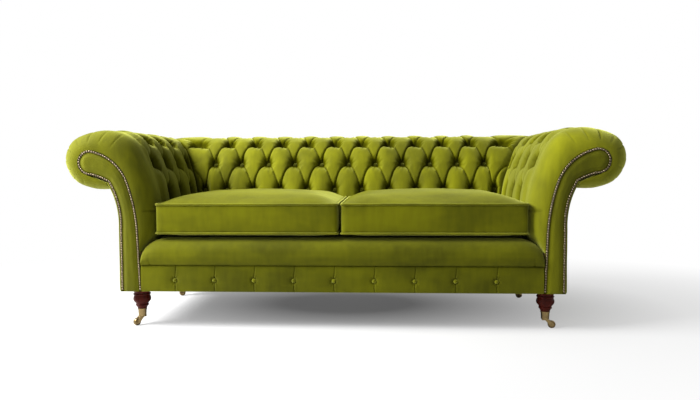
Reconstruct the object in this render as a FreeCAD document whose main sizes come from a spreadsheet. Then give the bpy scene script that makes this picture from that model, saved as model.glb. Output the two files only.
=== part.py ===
"""Two-seat chesterfield sofa: rolled arms and back, deep buttoning, turned legs on castors.

The origin is on the floor under the middle of the sofa. X runs to the sofa's right as seen
from the front, the front faces -Y and Z is up. All sizes are in millimetres.
"""
import FreeCAD
import Part
import Sketcher
import math
import os

Vector = FreeCAD.Vector
Rotation = FreeCAD.Rotation
Placement = FreeCAD.Placement
UP = Vector(0, 0, 1)

# Driving sizes. "out" is measured outwards from the inner face of an arm or the back,
# and "up" from the underside of the timber base.
SIZES = [
    # Seat space
    ("inner_width", 1470), ("seat_depth", 625), ("clearance", 0.3),
    # Board outline shared by the facings, scroll boards and ribs
    ("board_inner_out", 50), ("board_knee_out", 60), ("board_knee_up", 250),
    ("board_neck_out", 101), ("board_neck_drop", 67), ("scroll_out", 247), ("scroll_up", 510),
    ("scroll_radius", 49), ("board_outer_out", 131), ("throat_drop", 76),
    ("board_sweep", 7), ("neck_sweep", 24), ("throat_sweep", 14), ("under_sweep", 3),
    # Padded surface of the arms and the back, before the buttons pull it in. The rows of
    # buttons stand below, level with and above the centre of the scroll.
    ("foot_up", 157), ("foot_rise", 83), ("low_row_out", 6), ("low_row_drop", 130),
    ("middle_row_out", 47), ("upper_row_out", 113), ("upper_row_rise", 94),
    ("top_row_out", 215), ("top_row_rise", 126), ("roll_radius", 119), ("roll_under_out", 262),
    # Deep buttoning
    ("tuft_depth", 30), ("corner_depth", 22), ("pillow_rise", 9), ("foot_bulge", 8),
    ("back_pitch", 133), ("arm_pitch", 150), ("arm_first_tuft", 165), ("arm_smooth_front", 85),
    ("pad_edge", 0.12), ("top_tuft_depth", 16), ("corner_fan", 45), ("fan_lean", 0.5), ("row_bulge", 6),
    ("throat_rise", 6), ("button_radius", 10.5), ("button_rise", 6), ("button_lift", 3),
    # Timber
    ("rail_height", 95), ("rail_thickness", 45), ("front_rail_thickness", 28),
    ("centre_rail_thickness", 30), ("board_thickness", 25), ("rib_thickness", 28),
    ("rib_offset", 350),
    ("top_rail_width", 78), ("top_rail_thickness", 28), ("block_width", 76), ("block_length", 100),
    ("block_height", 50), ("hessian_thickness", 1.4), ("hessian_overlap", 45), ("hessian_start_up", 125),
    # Facings, borders and covers
    ("facing_thickness", 12), ("cover_thickness", 7), ("nail_pitch", 9.6), ("nail_radius", 4.3),
    ("nail_rise", 2.6), ("nail_shank_radius", 0.8), ("nail_length", 15), ("nail_inset", 4.5),
    ("border_thickness", 13), ("border_puff", 4), ("border_button_pitch", 157),
    ("border_button_shift", -22), ("border_button_up", 46), ("border_button_radius", 8),
    ("border_button_rise", 6), ("border_pleat", 3), ("dust_cover_thickness", 1.5),
    # Front roll of the seat
    ("lip_height", 102), ("lip_proud", 14), ("lip_depth", 90), ("lip_end_drop", 62),
    ("lip_end_length", 48), ("lip_shoulder", 42), ("lip_front_up", 46), ("lip_front_rise", 14),
    ("lip_under_rise", 5),
    # Springs and deck
    ("spring_wire", 3.6), ("spring_width", 50), ("spring_pitch", 110), ("spring_first", 75),
    ("spring_step", 30), ("clip_width", 18), ("clip_length", 14), ("clip_height", 8),
    ("deck_height", 111),
    # Seat cushions
    ("cushion_border", 114), ("cushion_crown", 62), ("cushion_under", 14), ("cushion_shoulder", 110),
    ("cushion_pull", 3), ("cushion_wall", 4), ("piping_radius", 4.2), ("cushion_gap", 3),
    ("piping_corner", 8), ("cushion_setback", 6), ("cushion_edge_crown", 0.12),
    # Legs and castors
    ("leg_setback", 60), ("rear_leg_inset", 109), ("leg_height", 78.7), ("leg_inset", 60.5),
    ("leg_top_radius", 37), ("leg_flange", 6), ("leg_cove_radius", 31), ("leg_cove_height", 10),
    ("leg_bead_radius", 34), ("leg_bead_height", 7), ("leg_bulb_radius", 34.5), ("leg_bulb_drop", 22),
    ("leg_bulb_taper", 1), ("leg_ankle_radius", 24), ("leg_ring_radius", 25.5), ("leg_ring_height", 6),
    ("leg_ankle_up", 12), ("leg_foot_radius", 17.5), ("spigot_radius", 14.2), ("spigot_length", 15),
    ("bolt_radius", 4), ("bolt_in_leg", 30), ("bolt_in_block", 40),
    ("cup_height", 30), ("cup_floor", 8), ("cup_radius", 17), ("cup_lip", 1.5),
    ("pivot_radius", 4), ("pivot_head_radius", 7), ("pivot_head_height", 3), ("running_clearance", 0.06),
    ("wheel_radius", 15), ("wheel_width", 14), ("wheel_groove", 1.2), ("wheel_side_gap", 0.6),
    ("castor_trail", 25), ("axle_radius", 2.5), ("axle_head_radius", 4), ("axle_head_height", 1.5),
    ("fork_crown", 4.5), ("fork_top_gap", 1.5), ("fork_boss_radius", 12), ("fork_cheek", 3),
    ("fork_cheek_radius", 5.5),
    ("front_left_swivel", 233), ("front_right_swivel", 354), ("rear_left_swivel", 218),
    ("rear_right_swivel", 318),
]


class Size:
    """A length that knows both its value and the formula that a property is bound to."""

    def __init__(self, value, formula):
        self.value = value
        self.formula = formula

    def combine(self, other, sign, value):
        return Size(value, "(%s %s %s)" % (self.formula, sign, other.formula))

    def __add__(self, other):
        other = as_size(other)
        return self.combine(other, "+", self.value + other.value)

    def __sub__(self, other):
        other = as_size(other)
        return self.combine(other, "-", self.value - other.value)

    def __mul__(self, other):
        other = as_size(other)
        return self.combine(other, "*", self.value * other.value)

    def __truediv__(self, other):
        other = as_size(other)
        return self.combine(other, "/", self.value / other.value)

    def __neg__(self):
        return as_size(0) - self


def as_size(number):
    if isinstance(number, Size):
        return number
    return Size(float(number), repr(number))


doc = FreeCAD.newDocument("Sofa")
sheet = doc.addObject("Spreadsheet::Sheet", "Sizes")
for line, (alias, number) in enumerate(SIZES, start=1):
    sheet.set("A%d" % line, alias)
    sheet.set("B%d" % line, str(number))
    sheet.setAlias("B%d" % line, alias)
doc.recompute()


class Sheet:
    """Every cell of the sheet by name, as a Size for bound properties."""


cell = Sheet()
mm = Sheet()
for alias, number in SIZES:
    setattr(cell, alias, Size(float(sheet.get(alias)), "Sizes." + alias))
    setattr(mm, alias, float(sheet.get(alias)))

# Heights from the floor
fork_top = cell.wheel_radius * 2 + cell.fork_top_gap + cell.fork_crown
cup_bottom = fork_top + cell.clearance
leg_bottom = cup_bottom + cell.cup_height
base = leg_bottom + cell.leg_height
rail_top = base + cell.rail_height

# Places across and along the sofa
half_inner = cell.inner_width / 2
roll_reach = cell.scroll_out + cell.roll_radius
front = (cell.lip_proud - cell.seat_depth - roll_reach) / 2
back_face = front + cell.seat_depth
facing_back = front + cell.facing_thickness
board_front = facing_back + cell.clearance
board_back = board_front + cell.board_thickness
base_outer = half_inner + cell.board_outer_out
base_rear = back_face + cell.board_outer_out
leg_across = base_outer - cell.leg_inset
LEG_PLACES = {
    "front_left": (-leg_across, front + cell.leg_setback, cell.front_left_swivel),
    "front_right": (leg_across, front + cell.leg_setback, cell.front_right_swivel),
    "rear_left": (-leg_across, base_rear - cell.rear_leg_inset, cell.rear_left_swivel),
    "rear_right": (leg_across, base_rear - cell.rear_leg_inset, cell.rear_right_swivel),
}


# Bound boxes, bodies and sketches
PIECES = []


def keep(piece, label):
    """Name a sub-part and list it for export."""
    piece.Label = label
    PIECES.append(piece)
    return piece


def bind(thing, path, size):
    thing.setExpression(path, size.formula)


def place(thing, across=0, along=0, up=0, turn=None):
    """Bind where a piece stands, with an optional turn about its own vertical."""
    for axis, size in (("x", across), ("y", along), ("z", up)):
        bind(thing, "Placement.Base." + axis, as_size(size))
    if turn is not None:
        thing.Placement.Rotation = Rotation(UP, 0.0)
        bind(thing, "Placement.Rotation.Angle", turn)


def bound_box(name, width, depth, height, across, along, up):
    box = doc.addObject("Part::Box", name)
    bind(box, "Length", as_size(width))
    bind(box, "Width", as_size(depth))
    bind(box, "Height", as_size(height))
    place(box, across, along, up)
    return box


def bound_cylinder(name, radius, height, across, along, up):
    rod = doc.addObject("Part::Cylinder", name)
    bind(rod, "Radius", radius)
    bind(rod, "Height", height)
    place(rod, across, along, up)
    return rod


def joined(name, kind, shapes):
    """A fuse or a compound of several document objects."""
    group = doc.addObject(kind, name)
    if kind == "Part::MultiFuse":
        group.Shapes = shapes
    else:
        group.Links = shapes
    return group


def cut(name, solid, tool):
    result = doc.addObject("Part::Cut", name)
    result.Base = solid
    result.Tool = tool
    return result


def origin_plane(body, role):
    return next(plane for plane in body.Origin.OriginFeatures if plane.Role == role)


def closed_sketch(body, role, corners):
    """A closed outline through corners given as pairs of Size, every corner bound to the sheet."""
    sketch = body.newObject("Sketcher::SketchObject", body.Name + "_sketch")
    sketch.AttachmentSupport = (origin_plane(body, role), [""])
    sketch.MapMode = "FlatFace"
    places = [Vector(as_size(x).value, as_size(y).value, 0) for x, y in corners]
    for index, start in enumerate(places):
        sketch.addGeometry(Part.LineSegment(start, places[(index + 1) % len(places)]), False)
    for index in range(len(places)):
        following = (index + 1) % len(places)
        sketch.addConstraint(Sketcher.Constraint("Coincident", index, 2, following, 1))
    for index, corner in enumerate(corners):
        for axis, size, line in (("DistanceX", corner[0], -2), ("DistanceY", corner[1], -1)):
            size = as_size(size)
            if abs(size.value) < 1e-9:
                sketch.addConstraint(Sketcher.Constraint("PointOnObject", index, 1, line))
                continue
            number = sketch.addConstraint(Sketcher.Constraint(axis, -1, 1, index, 1, size.value))
            bind(sketch, "Constraints[%d]" % number, size)
    return sketch


def turned(label, corners):
    """A body turned about its own vertical axis."""
    body = doc.addObject("PartDesign::Body", label)
    sketch = closed_sketch(body, "XZ_Plane", corners)
    lathe = body.newObject("PartDesign::Revolution", label + "_turning")
    lathe.Profile = sketch
    lathe.ReferenceAxis = (sketch, ["V_Axis"])
    lathe.Angle = 360
    body.Tip = lathe
    return keep(body, label)


# Timber base
def timber_base():
    board_inner = half_inner + cell.board_inner_out
    front_rail_front = front + cell.border_thickness + cell.clearance
    front_rail_back = front_rail_front + cell.front_rail_thickness
    back_rail_front = base_rear - cell.rail_thickness
    side_length = back_rail_front - board_back
    keep(bound_box("front_rail", board_inner * 2, cell.front_rail_thickness, cell.rail_height,
                   -board_inner, front_rail_front, base), "front_rail")
    keep(bound_box("back_rail", base_outer * 2, cell.rail_thickness, cell.rail_height,
                   -base_outer, back_rail_front, base), "back_rail")
    keep(bound_box("left_side_rail", cell.rail_thickness, side_length, cell.rail_height,
                   -base_outer, board_back, base), "left_side_rail")
    keep(bound_box("right_side_rail", cell.rail_thickness, side_length, cell.rail_height,
                   base_outer - cell.rail_thickness, board_back, base), "right_side_rail")
    keep(bound_box("centre_rail", cell.centre_rail_thickness, back_rail_front - front_rail_back,
                   cell.rail_height - cell.clip_height, -cell.centre_rail_thickness / 2,
                   front_rail_back, base), "centre_rail")
    blocks = []
    for name, (across, along, swivel) in LEG_PLACES.items():
        side = base_outer - cell.rail_thickness - cell.block_width
        if "left" in name:
            side = -(base_outer - cell.rail_thickness)
        start = front_rail_back if "front" in name else back_rail_front - cell.block_length
        block = bound_box(name + "_block", cell.block_width, cell.block_length, cell.block_height,
                          side, start, base)
        hole = bound_cylinder(name + "_block_hole", cell.bolt_radius, cell.bolt_in_block,
                              across, along, base)
        blocks.append(cut(name + "_drilled_block", block, hole))
    keep(joined("corner_blocks", "Part::Compound", blocks), "corner_blocks")


# Legs, cups and castors
def leg(name, across, along):
    top = cell.leg_height
    flange = top - cell.leg_flange
    cove = flange - cell.leg_cove_height
    bead = cove - cell.leg_bead_height
    bulb = bead - cell.leg_bulb_drop
    ring = cell.leg_ankle_up + cell.leg_ring_height
    hole_floor = top - cell.bolt_in_leg
    body = turned(name + "_leg", [
        (0, -cell.spigot_length), (cell.spigot_radius, -cell.spigot_length),
        (cell.spigot_radius, 0), (cell.leg_foot_radius, 0),
        (cell.leg_ring_radius, cell.leg_ankle_up), (cell.leg_ring_radius, ring),
        (cell.leg_ankle_radius, ring), (cell.leg_bulb_radius, bulb),
        (cell.leg_bulb_radius - cell.leg_bulb_taper, bulb + cell.leg_bulb_drop / 2),
        (cell.leg_cove_radius, bead), (cell.leg_bead_radius, bead),
        (cell.leg_bead_radius, cove), (cell.leg_cove_radius, cove),
        (cell.leg_top_radius, flange), (cell.leg_top_radius, top),
        (cell.bolt_radius, top), (cell.bolt_radius, hole_floor), (0, hole_floor)])
    place(body, across, along, leg_bottom)


def castor(name, across, along, swivel):
    """Swivelling brass fork, its axle and the wheel, turned about the leg's axis."""
    wheel_hub = cell.wheel_width / 2
    slot = wheel_hub + cell.wheel_side_gap
    cheek = slot + cell.fork_cheek
    crown_under = fork_top - cell.fork_crown
    floor_top = cup_bottom + cell.cup_floor
    head_bottom = floor_top + cell.clearance
    fork = doc.addObject("PartDesign::Body", name + "_fork_blank")
    outline = closed_sketch(fork, "XZ_Plane", [
        (-cell.fork_boss_radius, crown_under), (0, crown_under),
        (cell.castor_trail - cell.fork_cheek_radius, cell.wheel_radius - cell.fork_cheek_radius),
        (cell.castor_trail + cell.fork_cheek_radius, cell.wheel_radius - cell.fork_cheek_radius),
        (cell.castor_trail + cell.fork_cheek_radius, cell.wheel_radius + cell.fork_cheek_radius),
        (cell.fork_boss_radius, fork_top), (-cell.fork_boss_radius, fork_top)])
    side = fork.newObject("PartDesign::Pad", fork.Name + "_side")
    side.Profile = outline
    side.SideType = "Symmetric"
    bind(side, "Length", cheek * 2)
    clearance_under = -cell.fork_boss_radius - cell.wheel_width
    far_end = cell.castor_trail + cell.fork_cheek_radius + cell.wheel_width
    slot_outline = closed_sketch(fork, "XZ_Plane", [
        (clearance_under, 0), (far_end, 0), (far_end, crown_under), (clearance_under, crown_under)])
    gap = fork.newObject("PartDesign::Pocket", fork.Name + "_slot")
    gap.Profile = slot_outline
    gap.SideType = "Symmetric"
    bind(gap, "Length", slot * 2)
    pivot_outline = closed_sketch(fork, "XZ_Plane", [
        (0, fork_top - cell.fork_top_gap), (cell.pivot_radius, fork_top - cell.fork_top_gap),
        (cell.pivot_radius, head_bottom), (cell.pivot_head_radius, head_bottom),
        (cell.pivot_head_radius, head_bottom + cell.pivot_head_height),
        (0, head_bottom + cell.pivot_head_height)])
    pivot = fork.newObject("PartDesign::Revolution", fork.Name + "_pivot")
    pivot.Profile = pivot_outline
    pivot.ReferenceAxis = (pivot_outline, ["V_Axis"])
    pivot.Angle = 360
    fork.Tip = pivot
    bored = doc.addObject("Part::Cut", name + "_bored_fork")
    bored.Base = fork
    drill = doc.addObject("Part::Cylinder", name + "_axle_drill")
    drill_reach = cheek + cell.wheel_width
    bind(drill, "Radius", cell.axle_radius)
    bind(drill, "Height", drill_reach * 2)
    drill.Placement = Placement(Vector(), Rotation(Vector(1, 0, 0), 90))
    for axis, size in (("x", cell.castor_trail), ("y", drill_reach), ("z", cell.wheel_radius)):
        bind(drill, "Placement.Base." + axis, size)
    bored.Tool = drill
    keep(bored, name + "_castor_fork")

    axle = turned(name + "_castor_axle", [
        (0, -cheek - cell.axle_head_height), (cell.axle_head_radius, -cheek - cell.axle_head_height),
        (cell.axle_head_radius, -cheek), (cell.axle_radius, -cheek),
        (cell.axle_radius, cheek), (cell.axle_head_radius, cheek),
        (cell.axle_head_radius, cheek + cell.axle_head_height), (0, cheek + cell.axle_head_height)])
    bore = cell.axle_radius + cell.running_clearance
    groove = cell.wheel_radius - cell.wheel_groove
    wheel = turned(name + "_castor_wheel", [
        (bore, -wheel_hub), (groove, -wheel_hub), (cell.wheel_radius, -wheel_hub / 2),
        (cell.wheel_radius, wheel_hub / 2), (groove, wheel_hub), (bore, wheel_hub)])

    angle = math.radians(swivel.value)
    turn_to_trail = Rotation(UP, swivel.value)
    place(bored, across, along, 0)
    bored.Placement.Rotation = turn_to_trail
    bind(bored, "Placement.Rotation.Angle", swivel)
    for piece in (axle, wheel):
        piece.Placement.Rotation = turn_to_trail.multiply(Rotation(Vector(1, 0, 0), 90))
        bind(piece, "Placement.Base.x", across + cell.castor_trail * math.cos(angle))
        bind(piece, "Placement.Base.y", along + cell.castor_trail * math.sin(angle))
        bind(piece, "Placement.Base.z", cell.wheel_radius)


def castor_cups():
    """Brass cups over the leg spigots, one ring section turned at each leg."""
    cups = []
    for name, (across, along, swivel) in LEG_PLACES.items():
        hollow = cell.spigot_radius + cell.clearance
        cup = doc.addObject("PartDesign::Body", name + "_cup")
        bore = cell.pivot_radius + cell.running_clearance
        top = cell.cup_height - cell.clearance
        lip_under = top - cell.cup_lip * 2
        outline = closed_sketch(cup, "XZ_Plane", [
            (bore, 0), (cell.cup_radius - cell.cup_lip, 0), (cell.cup_radius, lip_under),
            (cell.cup_radius + cell.cup_lip, lip_under), (cell.cup_radius + cell.cup_lip, top),
            (hollow, top), (hollow, cell.cup_floor), (bore, cell.cup_floor)])
        lathe = cup.newObject("PartDesign::Revolution", cup.Name + "_turning")
        lathe.Profile = outline
        lathe.ReferenceAxis = (outline, ["V_Axis"])
        lathe.Angle = 360
        cup.Tip = lathe
        place(cup, across, along, cup_bottom)
        cups.append(cup)
    keep(joined("castor_cups", "Part::Compound", cups), "castor_cups")


def leg_bolts():
    """Hanger bolts that hold the legs to the corner blocks."""
    bolts = []
    for name, (across, along, swivel) in LEG_PLACES.items():
        radius = cell.bolt_radius - cell.running_clearance
        bolts.append(bound_cylinder(name + "_bolt", radius, cell.bolt_in_leg + cell.bolt_in_block,
                                    across, along, base - cell.bolt_in_leg))
    keep(joined("leg_bolts", "Part::Compound", bolts), "leg_bolts")


def dust_cover():
    """Black cloth tacked under the base, open round the legs."""
    sheet_box = bound_box("dust_cloth", base_outer * 2, base_rear - facing_back, cell.dust_cover_thickness,
                          -base_outer, facing_back, base - cell.clearance - cell.dust_cover_thickness)
    holes = []
    for name, (across, along, swivel) in LEG_PLACES.items():
        holes.append(bound_cylinder(name + "_cloth_hole", cell.leg_top_radius + cell.clearance,
                                    cell.leg_height, across, along, leg_bottom))
    openings = joined("leg_openings", "Part::MultiFuse", holes)
    keep(cut("dust_cover", sheet_box, openings), "dust_cover")


# Curved outlines of the arms and the back, as start, middle, end, middle, end and so on
def between(first, second, rise=0.0):
    """The middle point of an arc that stands off its chord to the left by rise."""
    chord = second - first
    normal = Vector(-chord.y, chord.x, 0)
    if normal.Length > 0:
        normal.normalize()
    return (first + second) * 0.5 + normal * rise


def pushed(path, distance):
    """The outline moved to its left by a distance, point by point."""
    result = []
    for index, point in enumerate(path):
        before = path[max(index - 1, 0)]
        after = path[min(index + 1, len(path) - 1)]
        step = after - before
        normal = Vector(-step.y, step.x, 0)
        normal.normalize()
        result.append(point + normal * distance)
    return result


def arc_chain(points):
    """Arcs, or lines where three points are in line, through start, middle, end triples."""
    edges = []
    for index in range(0, len(points) - 2, 2):
        first, middle, last = points[index:index + 3]
        if (middle - first).cross(last - first).Length < 1e-4 * (last - first).Length:
            edges.append(Part.LineSegment(first, last).toShape())
        else:
            edges.append(Part.Arc(first, middle, last).toShape())
    return edges


def board_face():
    """Points from the board's inner foot up its inner edge and round to the underside of the scroll."""
    scroll = Vector(mm.scroll_out, mm.scroll_up, 0)
    radius = mm.scroll_radius
    diagonal = radius * math.sqrt(0.5)
    inner_foot = Vector(mm.board_inner_out, 0, 0)
    knee = Vector(mm.board_knee_out, mm.board_knee_up, 0)
    neck = Vector(mm.board_neck_out, scroll.y - mm.board_neck_drop, 0)
    crest = scroll + Vector(0, radius, 0)
    return [inner_foot, between(inner_foot, knee), knee, between(knee, neck, mm.board_sweep), neck,
            between(neck, crest, mm.neck_sweep), crest, scroll + Vector(diagonal, diagonal, 0),
            scroll + Vector(radius, 0, 0), scroll + Vector(diagonal, -diagonal, 0),
            scroll - Vector(0, radius, 0)]


def board_flank():
    """Points from the throat under the scroll down the board's outer edge to its outer foot."""
    throat_out = (mm.board_outer_out + mm.scroll_out) / 2 - mm.throat_sweep
    throat = Vector(throat_out, mm.scroll_up - mm.throat_drop, 0)
    knee = Vector(mm.board_outer_out, mm.board_knee_up, 0)
    foot = Vector(mm.board_outer_out, 0, 0)
    return [throat, between(throat, knee, -mm.throat_sweep), knee, between(knee, foot), foot]


def trimmed(path, low):
    """The outline with its first point raised to a height above the base."""
    first, middle, last = path[:3]
    start = first + (last - first) * ((low - first.y) / (last.y - first.y))
    return [start, between(start, last)] + path[2:]


FACE = board_face()
FLANK = board_flank()
BOARD = FACE + [between(FACE[-1], FLANK[0], -mm.under_sweep)] + FLANK


def on_arm(along, lean):
    """Places an outline point in the right arm's section; lean turns the section into the mitre."""
    def place_point(point):
        return Vector(half_inner.value + point.x, front.value + along + lean * point.x, base.value + point.y)
    return place_point


def on_back(across, lean):
    """Places an outline point in the back's section, leaning to the side that across lies on."""
    side = math.copysign(lean, across)

    def place_point(point):
        return Vector(across + side * point.x, back_face.value + point.x, base.value + point.y)
    return place_point


def lofted(sections):
    """Straight-ruled solid through closed sections, each a list of edges in the same order."""
    wires = [Part.Wire(edges) for edges in sections]
    solid = Part.makeLoft(wires, True, True)
    if solid.Volume < 0:
        solid.reverse()
    return solid


def section(points, place_point):
    """Edges of one closed outline, with a straight line back to the start where it is open."""
    placed = [place_point(point) for point in points]
    edges = arc_chain(placed)
    if (placed[-1] - placed[0]).Length > mm.clearance / 10:
        edges.append(Part.LineSegment(placed[-1], placed[0]).toShape())
    return edges


def band(path, near, far):
    """Closed outline between two offsets of a path."""
    inner = pushed(path, near)
    outer = pushed(path, far)
    return outer + [between(outer[-1], inner[-1])] + inner[::-1]


def mirrored(shape):
    return shape.mirror(Vector(), Vector(1, 0, 0))


def shaped(label, shape):
    """A sub-part whose shape is made from the sheet's sizes."""
    piece = doc.addObject("Part::Feature", label)
    piece.Shape = shape
    piece.Placement = Placement()
    return keep(piece, label)


def both_sides(name, shape):
    shaped("right_" + name, shape)
    shaped("left_" + name, mirrored(shape))


# Padding of the arms and the back
ROWS = ("low", "middle", "upper", "top")


def row_knot(row):
    """Place of a button row in the pad's outline, whose first points are the foot and its top."""
    return 2 * (ROWS.index(row) + 2)


def rows_at(number):
    """The rows that have a button at an odd or an even station."""
    return ROWS[0::2] if number % 2 else ROWS[1::2]


def pad_inner():
    """The side of the padding that lies on the hessian, from its foot to the throat."""
    on_hessian = pushed(FACE, mm.hessian_thickness + 2 * mm.clearance)
    face = trimmed(on_hessian, mm.foot_up)
    throat = pushed(FLANK, mm.cover_thickness + 2 * mm.clearance)[0]
    return face + [between(face[-1], throat), throat]


def pad_outer():
    """The upholstered side of the padding without its tufts, from its foot to the throat."""
    inner = pad_inner()
    top = Vector(mm.top_row_out, mm.scroll_up + mm.top_row_rise, 0)
    upper = Vector(mm.upper_row_out, mm.scroll_up + mm.upper_row_rise, 0)
    middle = Vector(mm.middle_row_out, mm.scroll_up, 0)
    low = Vector(mm.low_row_out, mm.scroll_up - mm.low_row_drop, 0)
    foot_top = Vector(0, mm.foot_up + mm.foot_rise, 0)
    roll = Vector(mm.scroll_out, top.y - mm.roll_radius, 0)
    diagonal = mm.roll_radius * math.sqrt(0.5)
    tip = roll + Vector(mm.roll_radius, 0, 0)
    under = roll + Vector(mm.roll_under_out - mm.scroll_out, -mm.roll_radius, 0)
    throat = inner[-1]
    down = pushed(FLANK, mm.cover_thickness + 2 * mm.clearance)[1] - throat
    end = throat + down * ((throat.y - under.y - mm.throat_rise) / -down.y)
    return [inner[0], between(inner[0], foot_top, mm.foot_bulge), foot_top, between(foot_top, low), low,
            between(low, middle, mm.row_bulge), middle, between(middle, upper, mm.row_bulge), upper,
            between(upper, top, mm.row_bulge), top, roll + Vector(diagonal, diagonal, 0), tip,
            roll + Vector(diagonal, -diagonal, 0), under, between(under, end), end]


def pad_outline(deep_rows=(), depth=0.0, fullness=1.0):
    """Closed pad outline with some button rows pulled in, or drawn in as a whole at the front."""
    inner = pad_inner()
    outer = pad_outer()
    inwards = [point - moved for point, moved in zip(outer, pushed(outer, 1.0))]
    points = list(outer)
    for row in deep_rows:
        knot = row_knot(row)
        sink = min(depth, mm.top_tuft_depth) if row == "top" else depth
        points[knot] = outer[knot] + inwards[knot] * sink
    pillow = mm.pillow_rise if deep_rows and deep_rows != ROWS else 0.0
    for row in ROWS[:-1]:
        knot = row_knot(row) + 1
        moved = (points[knot - 1] + points[knot + 1] - outer[knot - 1] - outer[knot + 1]) * 0.5
        points[knot] = outer[knot] + moved - inwards[knot] * pillow
    points[3] = between(points[2], points[4])
    if fullness < 1.0:
        lining = Part.Wire(arc_chain(inner))
        for index in range(1, len(points)):
            nearest = lining.distToShape(Part.Vertex(points[index]))[1][0][0]
            points[index] = nearest + (points[index] - nearest) * fullness
    return points + [between(points[-1], inner[-1])] + inner[::-1]


def arm_stations():
    """Where each tufted section of an arm stands, and which rows it pulls in."""
    step = mm.arm_pitch / 2
    count = int((mm.seat_depth - step - mm.arm_first_tuft) / step) + 1
    stations = [(mm.arm_first_tuft + step * number, 0.0, rows_at(number)) for number in range(count)]
    stations.append((mm.seat_depth - mm.corner_fan, mm.fan_lean, rows_at(count)))
    return stations


def back_stations():
    """The same across the back, from the left corner to the right."""
    step = mm.back_pitch / 2
    count = int((mm.inner_width / 2 - step) / step)
    stations = [(step * number, 0.0, rows_at(number)) for number in range(-count, count + 1)]
    fan = mm.inner_width / 2 - mm.corner_fan
    rows = rows_at(count + 1)
    return [(-fan, mm.fan_lean, rows)] + stations + [(fan, mm.fan_lean, rows)]


def corner_section(place_point):
    return section(pad_outline(ROWS, mm.corner_depth), place_point)


def arm_pad():
    sections = []
    front_shares = (0.0, 0.12, 0.35, 0.65, 1.0)
    for share in front_shares:
        fullness = mm.pad_edge + (1.0 - mm.pad_edge) * math.sqrt(1.0 - (1.0 - share) ** 2)
        outline = pad_outline(fullness=fullness)
        sections.append(section(outline, on_arm(share * mm.arm_smooth_front, 0.0)))
    for along, lean, rows in arm_stations():
        sections.append(section(pad_outline(rows, mm.tuft_depth), on_arm(along, lean)))
    sections.append(corner_section(on_arm(mm.seat_depth - mm.clearance, 1.0)))
    return lofted(sections)


def back_pad():
    corner = mm.inner_width / 2 - mm.clearance
    sections = [corner_section(on_back(-corner, 1.0))]
    for across, lean, rows in back_stations():
        sections.append(section(pad_outline(rows, mm.tuft_depth), on_back(across, lean)))
    sections.append(corner_section(on_back(corner, 1.0)))
    return lofted(sections)


def button(radius, rise, place_at, outwards):
    """A covered button: a low dome whose flat back faces the padding."""
    centre = (radius ** 2 - rise ** 2) / (2 * rise)
    ball = Part.makeSphere(centre + rise, Vector(0, 0, -centre), UP, -90, 90, 360)
    dome = ball.common(Part.makeCylinder(radius * 2, rise * 2))
    dome.Placement = Placement(place_at, Rotation(UP, outwards))
    return dome


def pad_buttons(stations, placed):
    """One button in the bottom of every tuft."""
    outer = pad_outer()
    normals = [moved - point for point, moved in zip(outer, pushed(outer, 1.0))]
    buttons = []
    for distance, lean, rows in stations:
        place_point = placed(distance, lean)
        for row in rows:
            knot = row_knot(row)
            depth = mm.top_tuft_depth if row == "top" else mm.tuft_depth
            seat = outer[knot] - normals[knot] * (depth - mm.button_lift)
            outwards = place_point(seat + normals[knot]) - place_point(seat)
            buttons.append(button(mm.button_radius, mm.button_rise, place_point(seat), outwards))
    return Part.makeCompound(buttons)


def padding():
    both_sides("arm_pad", arm_pad())
    shaped("back_pad", back_pad())
    both_sides("arm_buttons", pad_buttons(arm_stations(), on_arm))
    shaped("back_buttons", pad_buttons(back_stations(), on_back))


# Scroll boards, ribs, top rails and hessian behind the padding
def board_solid(path, place_point, through):
    """A flat board cut to an outline and made solid along a vector."""
    return Part.Face(Part.Wire(section(path, place_point))).extrude(through)


def standing(path, low):
    """The board outline with both feet raised to a height above the base."""
    return trimmed(trimmed(path, low)[::-1], low)[::-1]


def rail_corners(place_point, spare=0.0):
    """Corners of the top rail's section inside the scroll."""
    wide = mm.top_rail_width / 2 + spare
    high = mm.top_rail_thickness / 2 + spare
    return [place_point(Vector(mm.scroll_out + x * wide, mm.scroll_up + y * high, 0))
            for x, y in ((-1, -1), (-1, 1), (1, 1), (1, -1))]


def straight_bar(first, last):
    """A bar with flat sides between two end outlines that have the same corners."""
    faces = [Part.Face(Part.makePolygon(end + end[:1])) for end in (first, last)]
    for index in range(len(first)):
        side = [first[index - 1], first[index], last[index], last[index - 1]]
        faces.append(Part.Face(Part.makePolygon(side + side[:1])))
    bar = Part.Solid(Part.makeShell(faces))
    if bar.Volume < 0:
        bar.reverse()
    return bar


def rib(path, place_point, through):
    """A shaped rib with a slot for the top rail that passes through it."""
    slot_corners = rail_corners(place_point, mm.clearance)
    slot = Part.Face(Part.makePolygon(slot_corners + slot_corners[:1])).extrude(through)
    return board_solid(path, place_point, through).cut(slot)


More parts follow.
